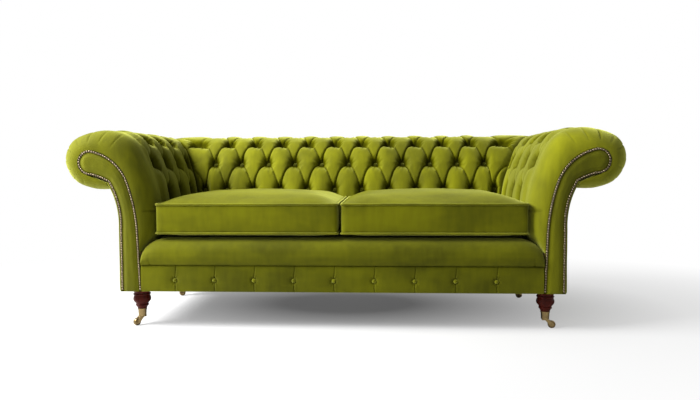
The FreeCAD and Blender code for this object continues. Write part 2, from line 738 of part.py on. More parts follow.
def shaped_timber():
    facing = board_solid(BOARD, on_arm(0.0, 0.0), Vector(0, mm.facing_thickness, 0))
    both_sides("arm_facing", facing)
    board_at = mm.facing_thickness + mm.clearance
    both_sides("scroll_board", board_solid(BOARD, on_arm(board_at, 0.0), Vector(0, mm.board_thickness, 0)))
    on_rail = standing(BOARD, mm.rail_height)
    through = Vector(0, mm.rib_thickness, 0)
    arm_rib = rib(on_rail, on_arm((mm.seat_depth - mm.rib_thickness) / 2, 0.0), through)
    shaped("arm_ribs", Part.makeCompound([arm_rib, mirrored(arm_rib)]))
    ribs = []
    for across in (-mm.rib_offset, 0.0, mm.rib_offset):
        ribs.append(rib(on_rail, on_back(across - mm.rib_thickness / 2, 0.0), Vector(mm.rib_thickness, 0, 0)))
    shaped("back_ribs", Part.makeCompound(ribs))
    square = Vector(-1, 1, 0).normalize() * mm.rib_thickness
    slim = mm.rib_thickness / 2 / math.sqrt(2) + mm.clearance
    narrow = standing(pushed(BOARD, -slim), mm.rail_height)
    corner = board_solid(narrow, on_arm(mm.seat_depth, 1.0), square)
    corner.translate(square * -0.5)
    shaped("corner_ribs", Part.makeCompound([corner, mirrored(corner)]))
    rib_half = mm.rib_thickness / math.sqrt(2) + mm.clearance
    start = board_at + mm.board_thickness
    both_sides("arm_top_rail", straight_bar(rail_corners(on_arm(start, 0.0)),
                                            rail_corners(on_arm(mm.seat_depth - rib_half, 1.0))))
    reach = mm.inner_width / 2 - rib_half
    shaped("back_top_rail", straight_bar(rail_corners(on_back(-reach, 1.0)),
                                         rail_corners(on_back(reach, 1.0))))


def mitred_band(path, near, far, start):
    """The same cloth or cover over an arm, from start to the corner, and across the back."""
    outline = band(path, near, far)
    arm_corner = (mm.seat_depth - mm.clearance, 1.0, ())
    back_corner = mm.inner_width / 2 - mm.clearance
    across = back_stations()
    ends = across[:2] + across[-2:]
    arm = lofted([section(outline, on_arm(along, lean))
                  for along, lean, rows in [(start, 0.0, ())] + arm_stations()[-2:] + [arm_corner]])
    back = lofted([section(outline, on_back(along, lean))
                   for along, lean, rows in [(-back_corner, 1.0, ())] + ends + [(back_corner, 1.0, ())]])
    return arm, back


def linings_and_covers():
    lined = trimmed(FACE, mm.hessian_start_up)
    behind_board = mm.facing_thickness + mm.board_thickness + 2 * mm.clearance
    arm, back = mitred_band(lined, mm.clearance, mm.clearance + mm.hessian_thickness, behind_board)
    shaped("arm_hessian", Part.makeCompound([arm, mirrored(arm)]))
    shaped("back_hessian", back)
    arm, back = mitred_band(FLANK, mm.clearance, mm.clearance + mm.cover_thickness, 0.0)
    both_sides("outer_arm_cover", arm)
    shaped("outer_back_cover", back)


def facing_nails():
    """Close nails round the two long edges and the scroll of each facing."""
    edge = Part.Wire(arc_chain(pushed(BOARD, -mm.nail_inset)))
    count = int(round(edge.Length / mm.nail_pitch))
    head = button(mm.nail_radius, mm.nail_rise, Vector(), UP)
    shank = Part.makeCylinder(mm.nail_shank_radius, mm.nail_length, Vector(0, 0, -mm.nail_length))
    nail = head.fuse(shank)
    place_point = on_arm(0.0, 0.0)
    nails = []
    for point in edge.discretize(count)[1:-1]:
        copy = nail.copy()
        copy.Placement = Placement(place_point(point), Rotation(UP, Vector(0, -1, 0)))
        nails.append(copy)
    row = Part.makeCompound(nails)
    shaped("facing_nails", Part.makeCompound(nails + mirrored(row).Solids))


# Front of the seat
lip_low = cell.rail_height + cell.clip_height + cell.hessian_thickness + cell.clearance * 2


def across_front(across):
    """Places an outline point in a section across the front of the seat."""
    def place_point(point):
        return Vector(across, front.value + point.x, base.value + point.y)
    return place_point


def lip_outline(height):
    low = lip_low.value
    back_low = Vector(mm.lip_depth, low, 0)
    back_top = Vector(mm.lip_depth, low + height, 0)
    crest = Vector(mm.lip_shoulder, low + height, 0)
    nose = Vector(-mm.lip_proud, low + mm.lip_front_up * height / mm.lip_height, 0)
    seam = Vector(0, low, 0)
    return [back_low, between(back_low, back_top), back_top, between(back_top, crest), crest,
            between(crest, nose, -mm.lip_front_rise), nose, between(nose, seam, -mm.lip_under_rise), seam]


def front_lip():
    end = mm.inner_width / 2 + mm.board_inner_out - mm.clearance
    start = end - mm.lip_end_length
    drops = ((start, 0.0), ((start + end) / 2, 0.5), (end, 1.0))
    stations = [(-across, share) for across, share in drops[::-1]] + list(drops)
    sections = [section(lip_outline(mm.lip_height - mm.lip_end_drop * share), across_front(across))
                for across, share in stations]
    shaped("front_lip_roll", lofted(sections))


def border_outline(pull):
    high = lip_low.value - mm.clearance
    back_low = Vector(mm.border_thickness, 0, 0)
    back_top = Vector(mm.border_thickness, high, 0)
    front_top = Vector(0, high, 0)
    front_low = Vector(0, 0, 0)
    return [back_low, between(back_low, back_top), back_top, between(back_top, front_top), front_top,
            Vector(pull, high / 2, 0), front_low]


def border_button_places():
    """Across positions of the covered buttons on the lower border."""
    end = mm.inner_width / 2 + mm.board_inner_out - mm.clearance
    count = int((end - abs(mm.border_button_shift)) / mm.border_button_pitch)
    return [mm.border_button_shift + mm.border_button_pitch * number for number in range(-count, count + 1)]


def front_border():
    end = mm.inner_width / 2 + mm.board_inner_out - mm.clearance
    places = border_button_places()
    half = mm.border_button_pitch / 2
    stations = [(-end, 0.0)]
    for across in places:
        stations += [(across - half, -mm.border_puff), (across, mm.border_pleat)]
    stations += [(places[-1] + half, -mm.border_puff), (end, 0.0)]
    sections = [section(border_outline(pull), across_front(across)) for across, pull in stations
                if abs(across) <= end]
    shaped("front_border", lofted(sections))
    buttons = []
    for across in places:
        seat = Vector(across, mm.border_pleat, mm.border_button_up)
        at = Vector(across, front.value + seat.y, base.value + seat.z)
        buttons.append(button(mm.border_button_radius, mm.border_button_rise, at, Vector(0, -1, 0)))
    shaped("front_border_buttons", Part.makeCompound(buttons))


# Springs and deck
def zigzag_spring(across, start, finish, level):
    """One sinuous spring of straight bars across, joined by half-round turns."""
    steps = int((finish - start) / mm.spring_step)
    step = (finish - start) / steps
    bend = step / 2
    reach = mm.spring_width / 2 - bend
    edges = []
    for number in range(steps + 1):
        along = start + step * number
        side = 1 if number % 2 == 0 else -1
        first = Vector(across - side * reach, along, level)
        last = Vector(across + side * reach, along, level)
        edges.append(Part.LineSegment(first, last).toShape())
        if number < steps:
            outer = Vector(last.x + side * bend, along + bend, level)
            after = Vector(last.x, along + step, level)
            quarter = bend * math.sqrt(0.5)
            early = Vector(last.x + side * quarter, along + bend - quarter, level)
            late = Vector(last.x + side * quarter, along + bend + quarter, level)
            edges.append(Part.Arc(last, early, outer).toShape())
            edges.append(Part.Arc(outer, late, after).toShape())
    path = Part.Wire(edges)
    circle = Part.Circle(path.Edges[0].Vertexes[0].Point, Vector(1, 0, 0), mm.spring_wire / 2)
    return path.makePipeShell([Part.Wire(circle.toShape())], True, False)


def spring_clip(across, along, level):
    """A folded steel clip round the end bar of a spring."""
    block = Part.makeBox(mm.clip_width, mm.clip_length, mm.clip_height,
                         Vector(across - mm.clip_width / 2, along - mm.clip_length / 2,
                                level - mm.clip_height / 2))
    eye = Part.makeCylinder(mm.spring_wire / 2 + mm.clearance, mm.clip_width * 2,
                            Vector(across - mm.clip_width, along, level), Vector(1, 0, 0))
    return block.cut(eye)


def suspension():
    level = rail_top.value + mm.clip_height / 2
    start = front.value + mm.border_thickness + mm.clearance + mm.front_rail_thickness / 2
    finish = base_rear.value - mm.rail_thickness / 2
    count = int((mm.inner_width / 2 - mm.spring_first - mm.spring_width / 2) / mm.spring_pitch) + 1
    springs = []
    clips = []
    for number in range(count):
        for side in (-1, 1):
            across = side * (mm.spring_first + mm.spring_pitch * number)
            springs.append(zigzag_spring(across, start, finish, level))
            clips += [spring_clip(across, start, level), spring_clip(across, finish, level)]
    shaped("seat_springs", Part.makeCompound(springs))
    shaped("spring_clips", Part.makeCompound(clips))
    cloth_at = rail_top + cell.clip_height + cell.clearance
    cloth_front = front + cell.border_thickness + cell.clearance
    half_cloth = half_inner + cell.hessian_overlap
    keep(bound_box("seat_hessian", half_cloth * 2, back_face + cell.hessian_overlap - cloth_front,
                   cell.hessian_thickness, -half_cloth, cloth_front, cloth_at), "seat_hessian")
    deck_front = front + cell.lip_depth + cell.clearance
    deck_at = cloth_at + cell.hessian_thickness + cell.clearance
    keep(bound_box("seat_deck_pad", half_inner * 2, back_face - deck_front, cell.deck_height,
                   -half_inner, deck_front, deck_at), "seat_deck_pad")
    return deck_at + cell.deck_height


# Loose seat cushions
def cushion_outline(low, inset, crown, pull):
    """Section across the right cushion, a share of the crown high and pulled in at its sides."""
    left = mm.cushion_gap / 2 + mm.piping_radius + inset + pull
    right = mm.inner_width / 2 - mm.cushion_gap - mm.piping_radius - inset - pull
    bottom = low + mm.cushion_under + inset
    top = low + mm.cushion_under + mm.cushion_border - inset
    deep = mm.cushion_under * crown
    high = mm.cushion_crown * crown
    under_bulge = -deep / 4
    crown_bulge = -high / 12
    edge_bulge = -high / 5
    shoulder = mm.cushion_shoulder
    corners = [Vector(left, bottom, 0), Vector(left + shoulder, bottom - deep, 0),
               Vector(right - shoulder, bottom - deep, 0), Vector(right, bottom, 0),
               Vector(right, top, 0), Vector(right - shoulder, top + high, 0),
               Vector(left + shoulder, top + high, 0), Vector(left, top, 0), Vector(left, bottom, 0)]
    rises = (under_bulge, 0, under_bulge, pull, edge_bulge, crown_bulge, edge_bulge, pull)
    outline = [corners[0]]
    for first, second, rise in zip(corners, corners[1:], rises):
        outline += [between(first, second, rise), second]
    return outline


def cushion_form(low, inset):
    """Crowned cushion as a loft from front to back."""
    start = front.value + mm.cushion_setback + mm.piping_radius + inset
    finish = back_face.value - mm.cushion_gap - mm.piping_radius - inset
    shoulder = mm.cushion_shoulder
    rises = ((0.0, 0.0), (0.15, 0.45), (0.5, 0.82), (1.0, 1.0))
    stations = [(start + shoulder * share, rise) for share, rise in rises]
    stations += [(finish - shoulder * share, rise) for share, rise in rises[::-1]]
    sections = []
    for along, rise in stations:
        crown = mm.cushion_edge_crown + (1.0 - mm.cushion_edge_crown) * rise
        pull = mm.cushion_pull * math.sin(math.pi * (along - start) / (finish - start))

        def place_point(point, along=along):
            return Vector(point.x, along, point.y)
        sections.append(section(cushion_outline(low, inset, crown, pull), place_point))
    return lofted(sections)


def piping_loop(level):
    """A covered cord round one seam of the right cushion."""
    left = mm.cushion_gap / 2 + mm.piping_radius
    right = mm.inner_width / 2 - mm.cushion_gap - mm.piping_radius
    near = front.value + mm.cushion_setback + mm.piping_radius
    far = back_face.value - mm.cushion_gap - mm.piping_radius
    frame = Part.makePolygon([Vector(left, near, level), Vector(right, near, level),
                              Vector(right, far, level), Vector(left, far, level),
                              Vector(left, near, level)])
    rounded = []
    corners = [vertex.Point for vertex in frame.OrderedVertexes]
    for index, corner in enumerate(corners):
        before = (corners[index - 1] - corner).normalize() * mm.piping_corner
        after = (corners[(index + 1) % 4] - corner).normalize() * mm.piping_corner
        centre = corner + before + after
        middle = centre + (corner - centre).normalize() * mm.piping_corner
        rounded.append((corner + before, middle, corner + after))
    edges = []
    for index, (first, middle, last) in enumerate(rounded):
        edges.append(Part.Arc(first, middle, last).toShape())
        edges.append(Part.LineSegment(last, rounded[(index + 1) % 4][0]).toShape())
    path = Part.Wire(edges)
    start = edges[0].Vertexes[0].Point
    direction = edges[0].tangentAt(edges[0].FirstParameter)
    circle = Part.Circle(start, direction, mm.piping_radius)
    return path.makePipeShell([Part.Wire(circle.toShape())], True, False)


def cushions(deck_top):
    low = deck_top.value + mm.clearance
    outer = cushion_form(low, 0.0)
    hollow = cushion_form(low, mm.cushion_wall)
    cover = outer.cut(hollow)
    core = cushion_form(low, mm.cushion_wall + mm.clearance)
    bottom = low + mm.cushion_under
    piping = Part.makeCompound([piping_loop(bottom), piping_loop(bottom + mm.cushion_border)])
    for name, shape in (("cushion_cover", cover), ("cushion_core", core), ("cushion_piping", piping)):
        both_sides(name, shape)


timber_base()
for name, (across, along, swivel) in LEG_PLACES.items():
    leg(name, across, along)
    castor(name, across, along, swivel)
castor_cups()
leg_bolts()
dust_cover()
padding()
shaped_timber()
linings_and_covers()
facing_nails()
front_lip()
front_border()
cushions(suspension())
doc.recompute()

for item in doc.Objects:
    if "Invalid" in item.State or "Error" in item.State:
        raise RuntimeError("%s failed to build" % item.Label)
for piece in PIECES:
    if piece.Shape.isNull() or not piece.Shape.isValid():
        raise RuntimeError("%s has no valid shape" % piece.Label)

os.makedirs("parts", exist_ok=True)
for piece in PIECES:
    piece.Shape.exportStep("parts/%s.step" % piece.Label)
print("wrote %d sub-parts" % len(PIECES))
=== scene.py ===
"""Two-seat chesterfield sofa in green velvet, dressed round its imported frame.

Lengths are in metres, in the frame's own axes: the front faces -Y, Z is up and the floor is Z 0.
"""
import math

import bmesh
import bpy
import numpy as np
from bpy.props import FloatProperty, FloatVectorProperty, IntProperty, PointerProperty
from mathutils import Matrix, Vector


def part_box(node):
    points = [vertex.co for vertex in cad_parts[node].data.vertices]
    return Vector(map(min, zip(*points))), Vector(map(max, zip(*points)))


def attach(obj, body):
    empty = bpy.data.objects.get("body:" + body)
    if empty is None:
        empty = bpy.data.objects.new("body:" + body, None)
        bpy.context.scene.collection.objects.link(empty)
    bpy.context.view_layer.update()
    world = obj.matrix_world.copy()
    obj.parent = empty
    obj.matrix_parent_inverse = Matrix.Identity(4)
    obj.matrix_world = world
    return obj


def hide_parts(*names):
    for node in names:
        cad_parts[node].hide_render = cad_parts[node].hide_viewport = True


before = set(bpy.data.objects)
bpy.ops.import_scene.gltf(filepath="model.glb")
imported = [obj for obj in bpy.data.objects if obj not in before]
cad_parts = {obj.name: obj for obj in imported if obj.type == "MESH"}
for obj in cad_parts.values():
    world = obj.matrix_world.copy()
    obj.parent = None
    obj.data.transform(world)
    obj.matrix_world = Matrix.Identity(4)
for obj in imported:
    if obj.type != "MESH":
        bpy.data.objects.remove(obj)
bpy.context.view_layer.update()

bl_info = {
    "name": "Chesterfield Sofa Upholstery",
    "version": (1, 0, 0),
    "blender": (4, 5, 0),
    "location": "3D View > Sidebar > Sofa",
    "description": "Builds the velvet, timber and brass of a buttoned sofa round its frame",
    "category": "Object",
}

SIDES = {"left": -1, "right": 1}
CORNERS = ("front_left", "front_right", "rear_left", "rear_right")

# Places read from the frame
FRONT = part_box("right_arm_facing")[0].y
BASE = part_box("right_arm_facing")[0].z
HALF_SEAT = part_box("seat_deck_pad")[1].x
BACK_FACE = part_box("seat_deck_pad")[1].y
SEAT_DEPTH = BACK_FACE - FRONT
HALF_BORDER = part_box("front_border")[1].x
BORDER_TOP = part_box("front_border")[1].z
LIP_LOW, LIP_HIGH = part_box("front_lip_roll")


# Sizes and colours that a user would change
def length(name, description, default):
    return FloatProperty(name=name, description=description, default=default, unit="LENGTH",
                         subtype="DISTANCE")


def share(name, description, default):
    return FloatProperty(name=name, description=description, default=default, min=0.0, max=1.0)


def quantity(name, description, default):
    return FloatProperty(name=name, description=description, default=default)


def paint(name, description, default):
    return FloatVectorProperty(name=name, description=description, default=default, size=4,
                               min=0.0, max=1.0, subtype="COLOR")


class SofaPadding(bpy.types.PropertyGroup):
    tuft_depth: length("Tuft depth", "How deep the buttons pull the cover in", 0.030)
    pillow_rise: length("Pillow rise", "How far each diamond swells past the smooth pad", 0.009)
    pit_reach: length("Pit reach", "How far round a button its hollow reaches", 0.030)
    pleat_width: length("Pleat width", "Half width of the fold between two buttons", 0.0038)
    pleat_depth: length("Pleat depth", "Depth of the fold between two buttons", 0.0046)
    pleat_lip: length("Pleat lip", "How far the upper cloth laps over the lower at a pleat", 0.0020)
    pleat_curve: share("Pleat curve", "How far the pleats bow from straight to a quarter round", 0.80)
    crease_rise: share("Crease rise", "How far a pleat climbs between two buttons", 0.76)
    grid: length("Grid", "Spacing of the mesh over the buttoned cloth", 0.0037)


class SofaVelvet(bpy.types.PropertyGroup):
    light: paint("Raised pile", "Colour of the pile brushed towards the light", (0.150, 0.153, 0.0022, 1.0))
    deep: paint("Laid pile", "Colour of the pile brushed away from the light", (0.056, 0.0575, 0.0009, 1.0))
    # The fold colour is painted shade, laid where the hollow attribute is high.
    fold: paint("Fold", "Colour deep in the folds", (0.010, 0.0105, 0.0008, 1.0))
    sheen: paint("Sheen tint", "Tint of the light along the tips of the pile", (0.96, 1.0, 0.23, 1.0))
    sheen_weight: share("Sheen", "Strength of the light along the tips of the pile", 0.85)


class SofaCushion(bpy.types.PropertyGroup):
    crown: length("Crown", "Height of the feather crown above the upper seam", 0.035)
    spacing: length("Spacing", "Spacing of the cloth grid before it is puffed", 0.014)
    pressure: quantity("Pressure", "Filling pressure in the cloth simulation", 3.0)
    settle_frames: IntProperty(name="Frames", description="Frames that the simulation runs", default=14)
    travel: length("Travel", "Furthest that the simulation may move a point", 0.014)


class SofaStage(bpy.types.PropertyGroup):
    floor: paint("Floor", "Colour of the floor", (0.73, 0.73, 0.73, 1.0))
    key: quantity("Key light", "Power of the large window to the left", 385.0)
    fill: quantity("Fill light", "Power of the soft light beside the camera", 7.0)
    sky: quantity("Sky", "Strength of the even white room", 0.215)


# Arrays of points
def smooth_curve(points, where):
    """Points on a smooth curve that meets the given points at whole numbers of where."""
    points = np.asarray(points, float)
    padded = np.vstack([2 * points[0] - points[1], points, 2 * points[-1] - points[-2]])
    where = np.asarray(where, float)
    index = np.clip(np.floor(where).astype(int), 0, len(points) - 2)
    step = (where - index)[..., None]
    before, first, last, after = (padded[index + offset] for offset in range(4))
    return 0.5 * (2 * first + (last - before) * step
                  + (2 * before - 5 * first + 4 * last - after) * step ** 2
                  + (3 * first - before - 3 * last + after) * step ** 3)


def arc_chain(corners, rises, spacing):
    """A chain of arcs through corners; each stands off its chord to the left by its rise."""
    pieces = []
    for first, last, rise in zip(corners[:-1], corners[1:], rises):
        first, last = np.asarray(first, float), np.asarray(last, float)
        chord = last - first
        span = np.hypot(*chord)
        count = max(int(span / spacing), 3)
        shares = np.linspace(0.0, 1.0, count, endpoint=False)[:, None]
        normal = np.array([-chord[1], chord[0]]) / span
        if abs(rise) < 1e-6:
            pieces.append(first + chord * shares)
            continue
        radius = (span ** 2 / 4 + rise ** 2) / (2 * rise)
        half_angle = math.asin(span / 2 / abs(radius))
        if abs(rise) > span / 2:
            half_angle = math.pi - half_angle
        angle = (2 * shares - 1) * half_angle
        middle = first + chord / 2 + normal * (rise - radius)
        along = chord / span
        pieces.append(middle + normal * radius * np.cos(angle) + along * abs(radius) * np.sin(angle))
    return np.vstack(pieces + [np.asarray(corners[-1], float)[None]])


def travelled(points, weights=1.0):
    """The way along an open line to each of its points, with each step at its weight."""
    return np.concatenate([[0.0], np.cumsum(np.hypot(*np.diff(points, axis=0).T) * weights)])


def resampled(points, count):
    """The same open line as evenly spaced points."""
    way = travelled(points)
    even = np.linspace(0.0, way[-1], count)
    return joined(*(np.interp(even, way, values) for values in points.T))


def joined(*axes):
    """Points from their values along each axis, which are spread to the same shape."""
    return np.stack(np.broadcast_arrays(*axes), axis=-1)


def quarter_turned(steps):
    """Unit vectors a quarter turn to the left of flat steps."""
    lengths = np.maximum(np.hypot(steps[..., 0], steps[..., 1]), 1e-6)
    return joined(-steps[..., 1], steps[..., 0]) / lengths[..., None]


def leftward(points):
    """Unit vectors to the left of an open line of flat points."""
    return quarter_turned(np.gradient(points, axis=0))


def nearest(points, line):
    """For every point the nearest one of a dense line, and its distance."""
    gaps = np.linalg.norm(points[:, None, :] - line[None, :, :], axis=2)
    closest = gaps.argmin(axis=1)
    return line[closest], gaps[np.arange(len(points)), closest]


def eased(values, low, high):
    """A smooth rise from 0 at low to 1 at high."""
    t = np.clip((values - low) / (high - low), 0.0, 1.0)
    return t * t * (3 - 2 * t)


def bunched(count):
    """Shares from 0 to 1 that lie closer together at both ends."""
    return (1 - np.cos(np.linspace(0.0, math.pi, count))) / 2


def domed(distance, reach):
    """A rise from 0 at an edge to 1 where its reach ends, steepest at the edge."""
    return 1 - (1 - np.clip(distance / reach, 0, 1)) ** 2


def round_edge(distance, radius):
    """How full a padded edge is at a distance in from it, from 0 to 1."""
    return np.sqrt(domed(distance, radius))


def bell(distance, width, power=2):
    """A smooth bump: 1 at no distance, and nothing to speak of beyond twice the width."""
    return np.exp(-(distance / width) ** power)


def wavering(x, y, seed):
    """Soft unevenness between -1 and 1, the same on every run."""
    return (np.sin(1.7 * x + 2.3 * seed) * np.cos(2.1 * y - 1.1 * seed)
            + 0.6 * np.sin(3.9 * x - 2.7 * y + seed) + 0.4 * np.cos(5.3 * y + 4.1 * x - 3.1 * seed)) / 2.0


# Meshes
def mark_painted_shade(mesh, hollow):
    """Keep the painted shade of each point, from 0 to 1, for the velvet: the deeper in a fold, pit or seam,
    the darker.
    """
    depth = mesh.attributes.new("hollow", "FLOAT", "POINT")
    depth.data.foreach_set("value", np.asarray(hollow, np.float32))


def new_object(name, data):
    """An object of the scene with a mesh, a lamp or a camera."""
    made = bpy.data.objects.new(name, data)
    bpy.context.scene.collection.objects.link(made)
    return made


def make_object(name, points, faces, hollow=None, sharp_angle=math.radians(50)):
    """A smooth-shaded object in the scene."""
    mesh = bpy.data.meshes.new(name)
    mesh.from_pydata(np.asarray(points).tolist(), [], faces)
    mesh.validate()
    if hollow is not None:
        mark_painted_shade(mesh, hollow)
    mesh.polygons.foreach_set("use_smooth", [True] * len(mesh.polygons))
    mesh.set_sharp_from_angle(angle=sharp_angle)
    return new_object(name, mesh)


def grid_faces(columns, rows, closed_columns=False, closed_rows=False):
    """Quads between neighbouring points of a grid that is numbered row by row within its columns."""
    faces = []
    for column in range(columns if closed_columns else columns - 1):
        here, there = column * rows, (column + 1) % columns * rows
        for row in range(rows if closed_rows else rows - 1):
            above = (row + 1) % rows
            faces.append((here + row, there + row, there + above, here + above))
    return faces


def laced_end(rows, outer):
    """Faces across the end of a ring whose first outer points lie over its other, hidden points."""
    faces = []
    hidden = rows - outer
    one, other = 0, rows - 1
    while one < outer - 1 or other > outer:
        if (one + 1) / outer <= (rows - other) / hidden and one < outer - 1 or other == outer:
            faces.append((one, one + 1, other))
            one += 1
        else:
            faces.append((one, other - 1, other))
            other -= 1
    return faces


def ring_mesh(name, rings, hollow=None, outer=0, sharp_angle=math.radians(50)):
    """A solid skinned over closed rings; with outer given, that many points lie over the hidden rest."""
    rings = np.asarray(rings, float)
    columns, rows = rings.shape[:2]
    faces = grid_faces(columns, rows, closed_rows=True)
    if outer:
        lacing = laced_end(rows, outer)
        faces += lacing
        faces += [tuple(index + (columns - 1) * rows for index in reversed(face)) for face in lacing]
    else:
        faces.append(tuple(range(rows)))
        faces.append(tuple(reversed(range((columns - 1) * rows, columns * rows))))
    return make_object(name, rings.reshape(-1, 3), faces, hollow, sharp_angle)


def slab_mesh(name, front, back, hollow=None):
    """A solid between two grids of the same size, joined round their edges."""
    columns, rows = front.shape[:2]
    count = columns * rows
    faces = grid_faces(columns, rows)
    faces += [tuple(index + count for index in reversed(face)) for face in faces[:]]
    edge = [column * rows for column in range(columns)]
    edge += [(columns - 1) * rows + row for row in range(1, rows)]
    edge += [column * rows + rows - 1 for column in range(columns - 2, -1, -1)]
    edge += list(range(rows - 2, 0, -1))
    for first, last in zip(edge, edge[1:] + edge[:1]):
        faces.append((last, first, first + count, last + count))
    points = np.vstack([front.reshape(-1, 3), back.reshape(-1, 3)])
    if hollow is not None:
        hollow = np.concatenate([np.ravel(hollow), np.zeros(count)])
    return make_object(name, points, faces, hollow)


def turned_mesh(name, profile, centre, segments=48):
    """A solid of revolution about a vertical line; the profile is radius and height pairs."""
    angles = np.linspace(0.0, 2 * math.pi, segments, endpoint=False)
    radius, height = np.array(profile).T[:, :, None]
    rings = joined(centre[0] + radius * np.cos(angles), centre[1] + radius * np.sin(angles),
                   centre[2] + height)
    return ring_mesh(name, rings, sharp_angle=math.radians(40))


def outward_faces(made):
    """Turn every face of a closed piece to face outwards."""
    work = bmesh.new()
    work.from_mesh(made.data)
    bmesh.ops.recalc_face_normals(work, faces=work.faces)
    work.to_mesh(made.data)
    work.free()
    return made


def dress(made, body, finish, replaced=()):
    """Give a piece its finish, its place on a body and the nodes that it stands for."""
    made.data.materials.clear()
    made.data.materials.append(finish)
    outward_faces(made)
    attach(made, body)
    if replaced:
        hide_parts(*replaced)
    return made


def run(settings):
    """The settings that a group of the scene holds."""
    return getattr(bpy.context.scene, settings)


# Shader expressions
class Flow:
    """A shader socket that sums and products can be written with."""

    def __init__(self, tree, socket):
        self.tree = tree
        self.socket = socket

    def maths(self, operation, *values):
        return self.tree.node("ShaderNodeMath", {"operation": operation}, dict(enumerate(values)))

    def __add__(self, other):
        return self.maths("ADD", self, other)

    def __radd__(self, other):
        return self.maths("ADD", other, self)

    def __sub__(self, other):
        return self.maths("SUBTRACT", self, other)

    def __rsub__(self, other):
        return self.maths("SUBTRACT", other, self)

    def __mul__(self, other):
        return self.maths("MULTIPLY", self, other)

    def __rmul__(self, other):
        return self.maths("MULTIPLY", other, self)

    def limited(self):
        """The value kept between 0 and 1."""
        return self.tree.node("ShaderNodeClamp", {}, {"Value": self})


class Finish:
    """The node tree of a material or a world, built node by node."""

    def __init__(self, owner):
        owner.use_nodes = True
        self.owner = owner
        self.nodes = owner.node_tree.nodes
        self.links = owner.node_tree.links
        self.nodes.clear()

    def node(self, kind, settings=None, inputs=None, output=0):
        """Add a node: its settings first, then the values or links of its sockets."""
        made = self.nodes.new(kind)
        for name, value in (settings or {}).items():
            setattr(made, name, value)
        for name, value in (inputs or {}).items():
            if isinstance(value, Flow):
                self.links.new(value.socket, made.inputs[name])
            else:
                made.inputs[name].default_value = value
        return Flow(self, made.outputs[output])

    def place(self):
        return self.node("ShaderNodeTexCoord", output="Object")

    def ray(self, kind):
        return self.node("ShaderNodeLightPath", output=kind)

    def stretched(self, scale):
        """The place in the piece, stretched before it reaches a texture."""
        return self.node("ShaderNodeVectorMath", {"operation": "MULTIPLY"}, {0: self.place(), 1: scale})

    def noise(self, scale, detail=2.0, roughness=0.5, stretch=(1.0, 1.0, 1.0)):
        return self.node("ShaderNodeTexNoise", {}, {"Vector": self.stretched(stretch), "Scale": scale,
                                                    "Detail": detail, "Roughness": roughness})

    def spread(self, value, low, high):
        """A value taken from the range low to high onto 0 to 1."""
        return self.node("ShaderNodeMapRange", {}, {"Value": value, "From Min": low, "From Max": high})

    def blend(self, amount, first, second):
        return self.node("ShaderNodeMix", {"data_type": "RGBA"}, {0: amount, 6: first, 7: second}, output=2)

    def bump(self, height, distance, strength):
        return self.node("ShaderNodeBump", {}, {"Height": height, "Distance": distance, "Strength": strength})

    def shader(self, **inputs):
        """A principled shader; words in names are joined by underscores."""
        named = {name.replace("_", " "): value for name, value in inputs.items()}
        return self.node("ShaderNodeBsdfPrincipled", {}, named)

    def mixed(self, amount, first, second):
        return self.node("ShaderNodeMixShader", {}, {0: amount, 1: first, 2: second})

    def ended(self, shader, kind="ShaderNodeOutputMaterial"):
        """Link the shader to the tree's output, and give the tree's owner."""
        self.links.new(shader.socket, self.nodes.new(kind).inputs["Surface"])
        return self.owner


def tinted(colour, shade=1.0):
    """An opaque colour, darker or lighter."""
    return tuple(channel * shade for channel in colour[:3]) + (1.0,)


UPRIGHT_NAP = (1.0, 1.0, 0.35)
FACING_NAP = (1.0, 1.0, 0.22)
LEVEL_NAP = (0.5, 1.0, 1.0)
STREAK_NAP = (1.0, 1.0, 0.25)


def velvet(made, shade=1.0, nap=UPRIGHT_NAP, shine=1.0):
    """Cut-pile velvet: brushed lights and darks, painted shade in the folds, and a soft sheen; shade and
    shine paint the piece lighter or darker and with more or less sheen.
    """
    look = run("sofa_velvet")
    brushed = made.spread(made.noise(7.0, 3.0, 0.55, nap), 0.36, 0.66)
    streaks = made.spread(made.noise(46.0, 2.0, 0.5, STREAK_NAP), 0.3, 0.7)
    pile = made.noise(900.0, 1.0)
    raised = (brushed * 0.62 + streaks * 0.22 + pile * 0.16).limited()
    # hollow is painted shade: it darkens the colour towards the fold colour, and in deep places swaps the
    # sheened shader for one without sheen.
    hollow = made.node("ShaderNodeAttribute", {"attribute_name": "hollow"}, output="Fac")
    colour = made.blend(raised, tinted(look.deep, shade), tinted(look.light, shade))
    colour = made.blend((hollow * 0.8).limited(), colour, tuple(look.fold))
    weave = made.noise(1400.0, 1.0) * 0.5 + made.noise(320.0, 2.0) * 0.5
    roughness = 0.62 + raised * 0.12
    normal = made.bump(weave, 0.0006, 0.55)
    lit = made.shader(Base_Color=colour, Roughness=roughness, Normal=normal, Specular_IOR_Level=0.04,
                      Sheen_Weight=look.sheen_weight * shine, Sheen_Roughness=0.48,
                      Sheen_Tint=tuple(look.sheen))
    shaded_pile = made.shader(Base_Color=colour, Roughness=roughness, Normal=normal, Specular_IOR_Level=0.0)
    return made.mixed(made.spread(hollow, 0.10, 0.66), lit, shaded_pile)


def wood(made, dark, light, gloss, coat, ring_scale=34.0):
    """Timber with long grain, turned or sawn."""
    grain = made.noise(ring_scale, 4.0, 0.6, (1.0, 1.0, 0.14))
    pores = made.spread(made.noise(420.0, 2.0, 0.5, (1.0, 1.0, 0.06)), 0.35, 0.6)
    figure = (made.spread(grain, 0.32, 0.68) * 0.75 + pores * 0.25).limited()
    colour = made.blend(figure, tinted(dark), tinted(light))
    return made.shader(Base_Color=colour, Roughness=gloss + figure * 0.08, Coat_Weight=coat,
                       Coat_Roughness=0.08, Specular_IOR_Level=0.06,
                       Normal=made.bump(pores, 0.0002, 0.3))


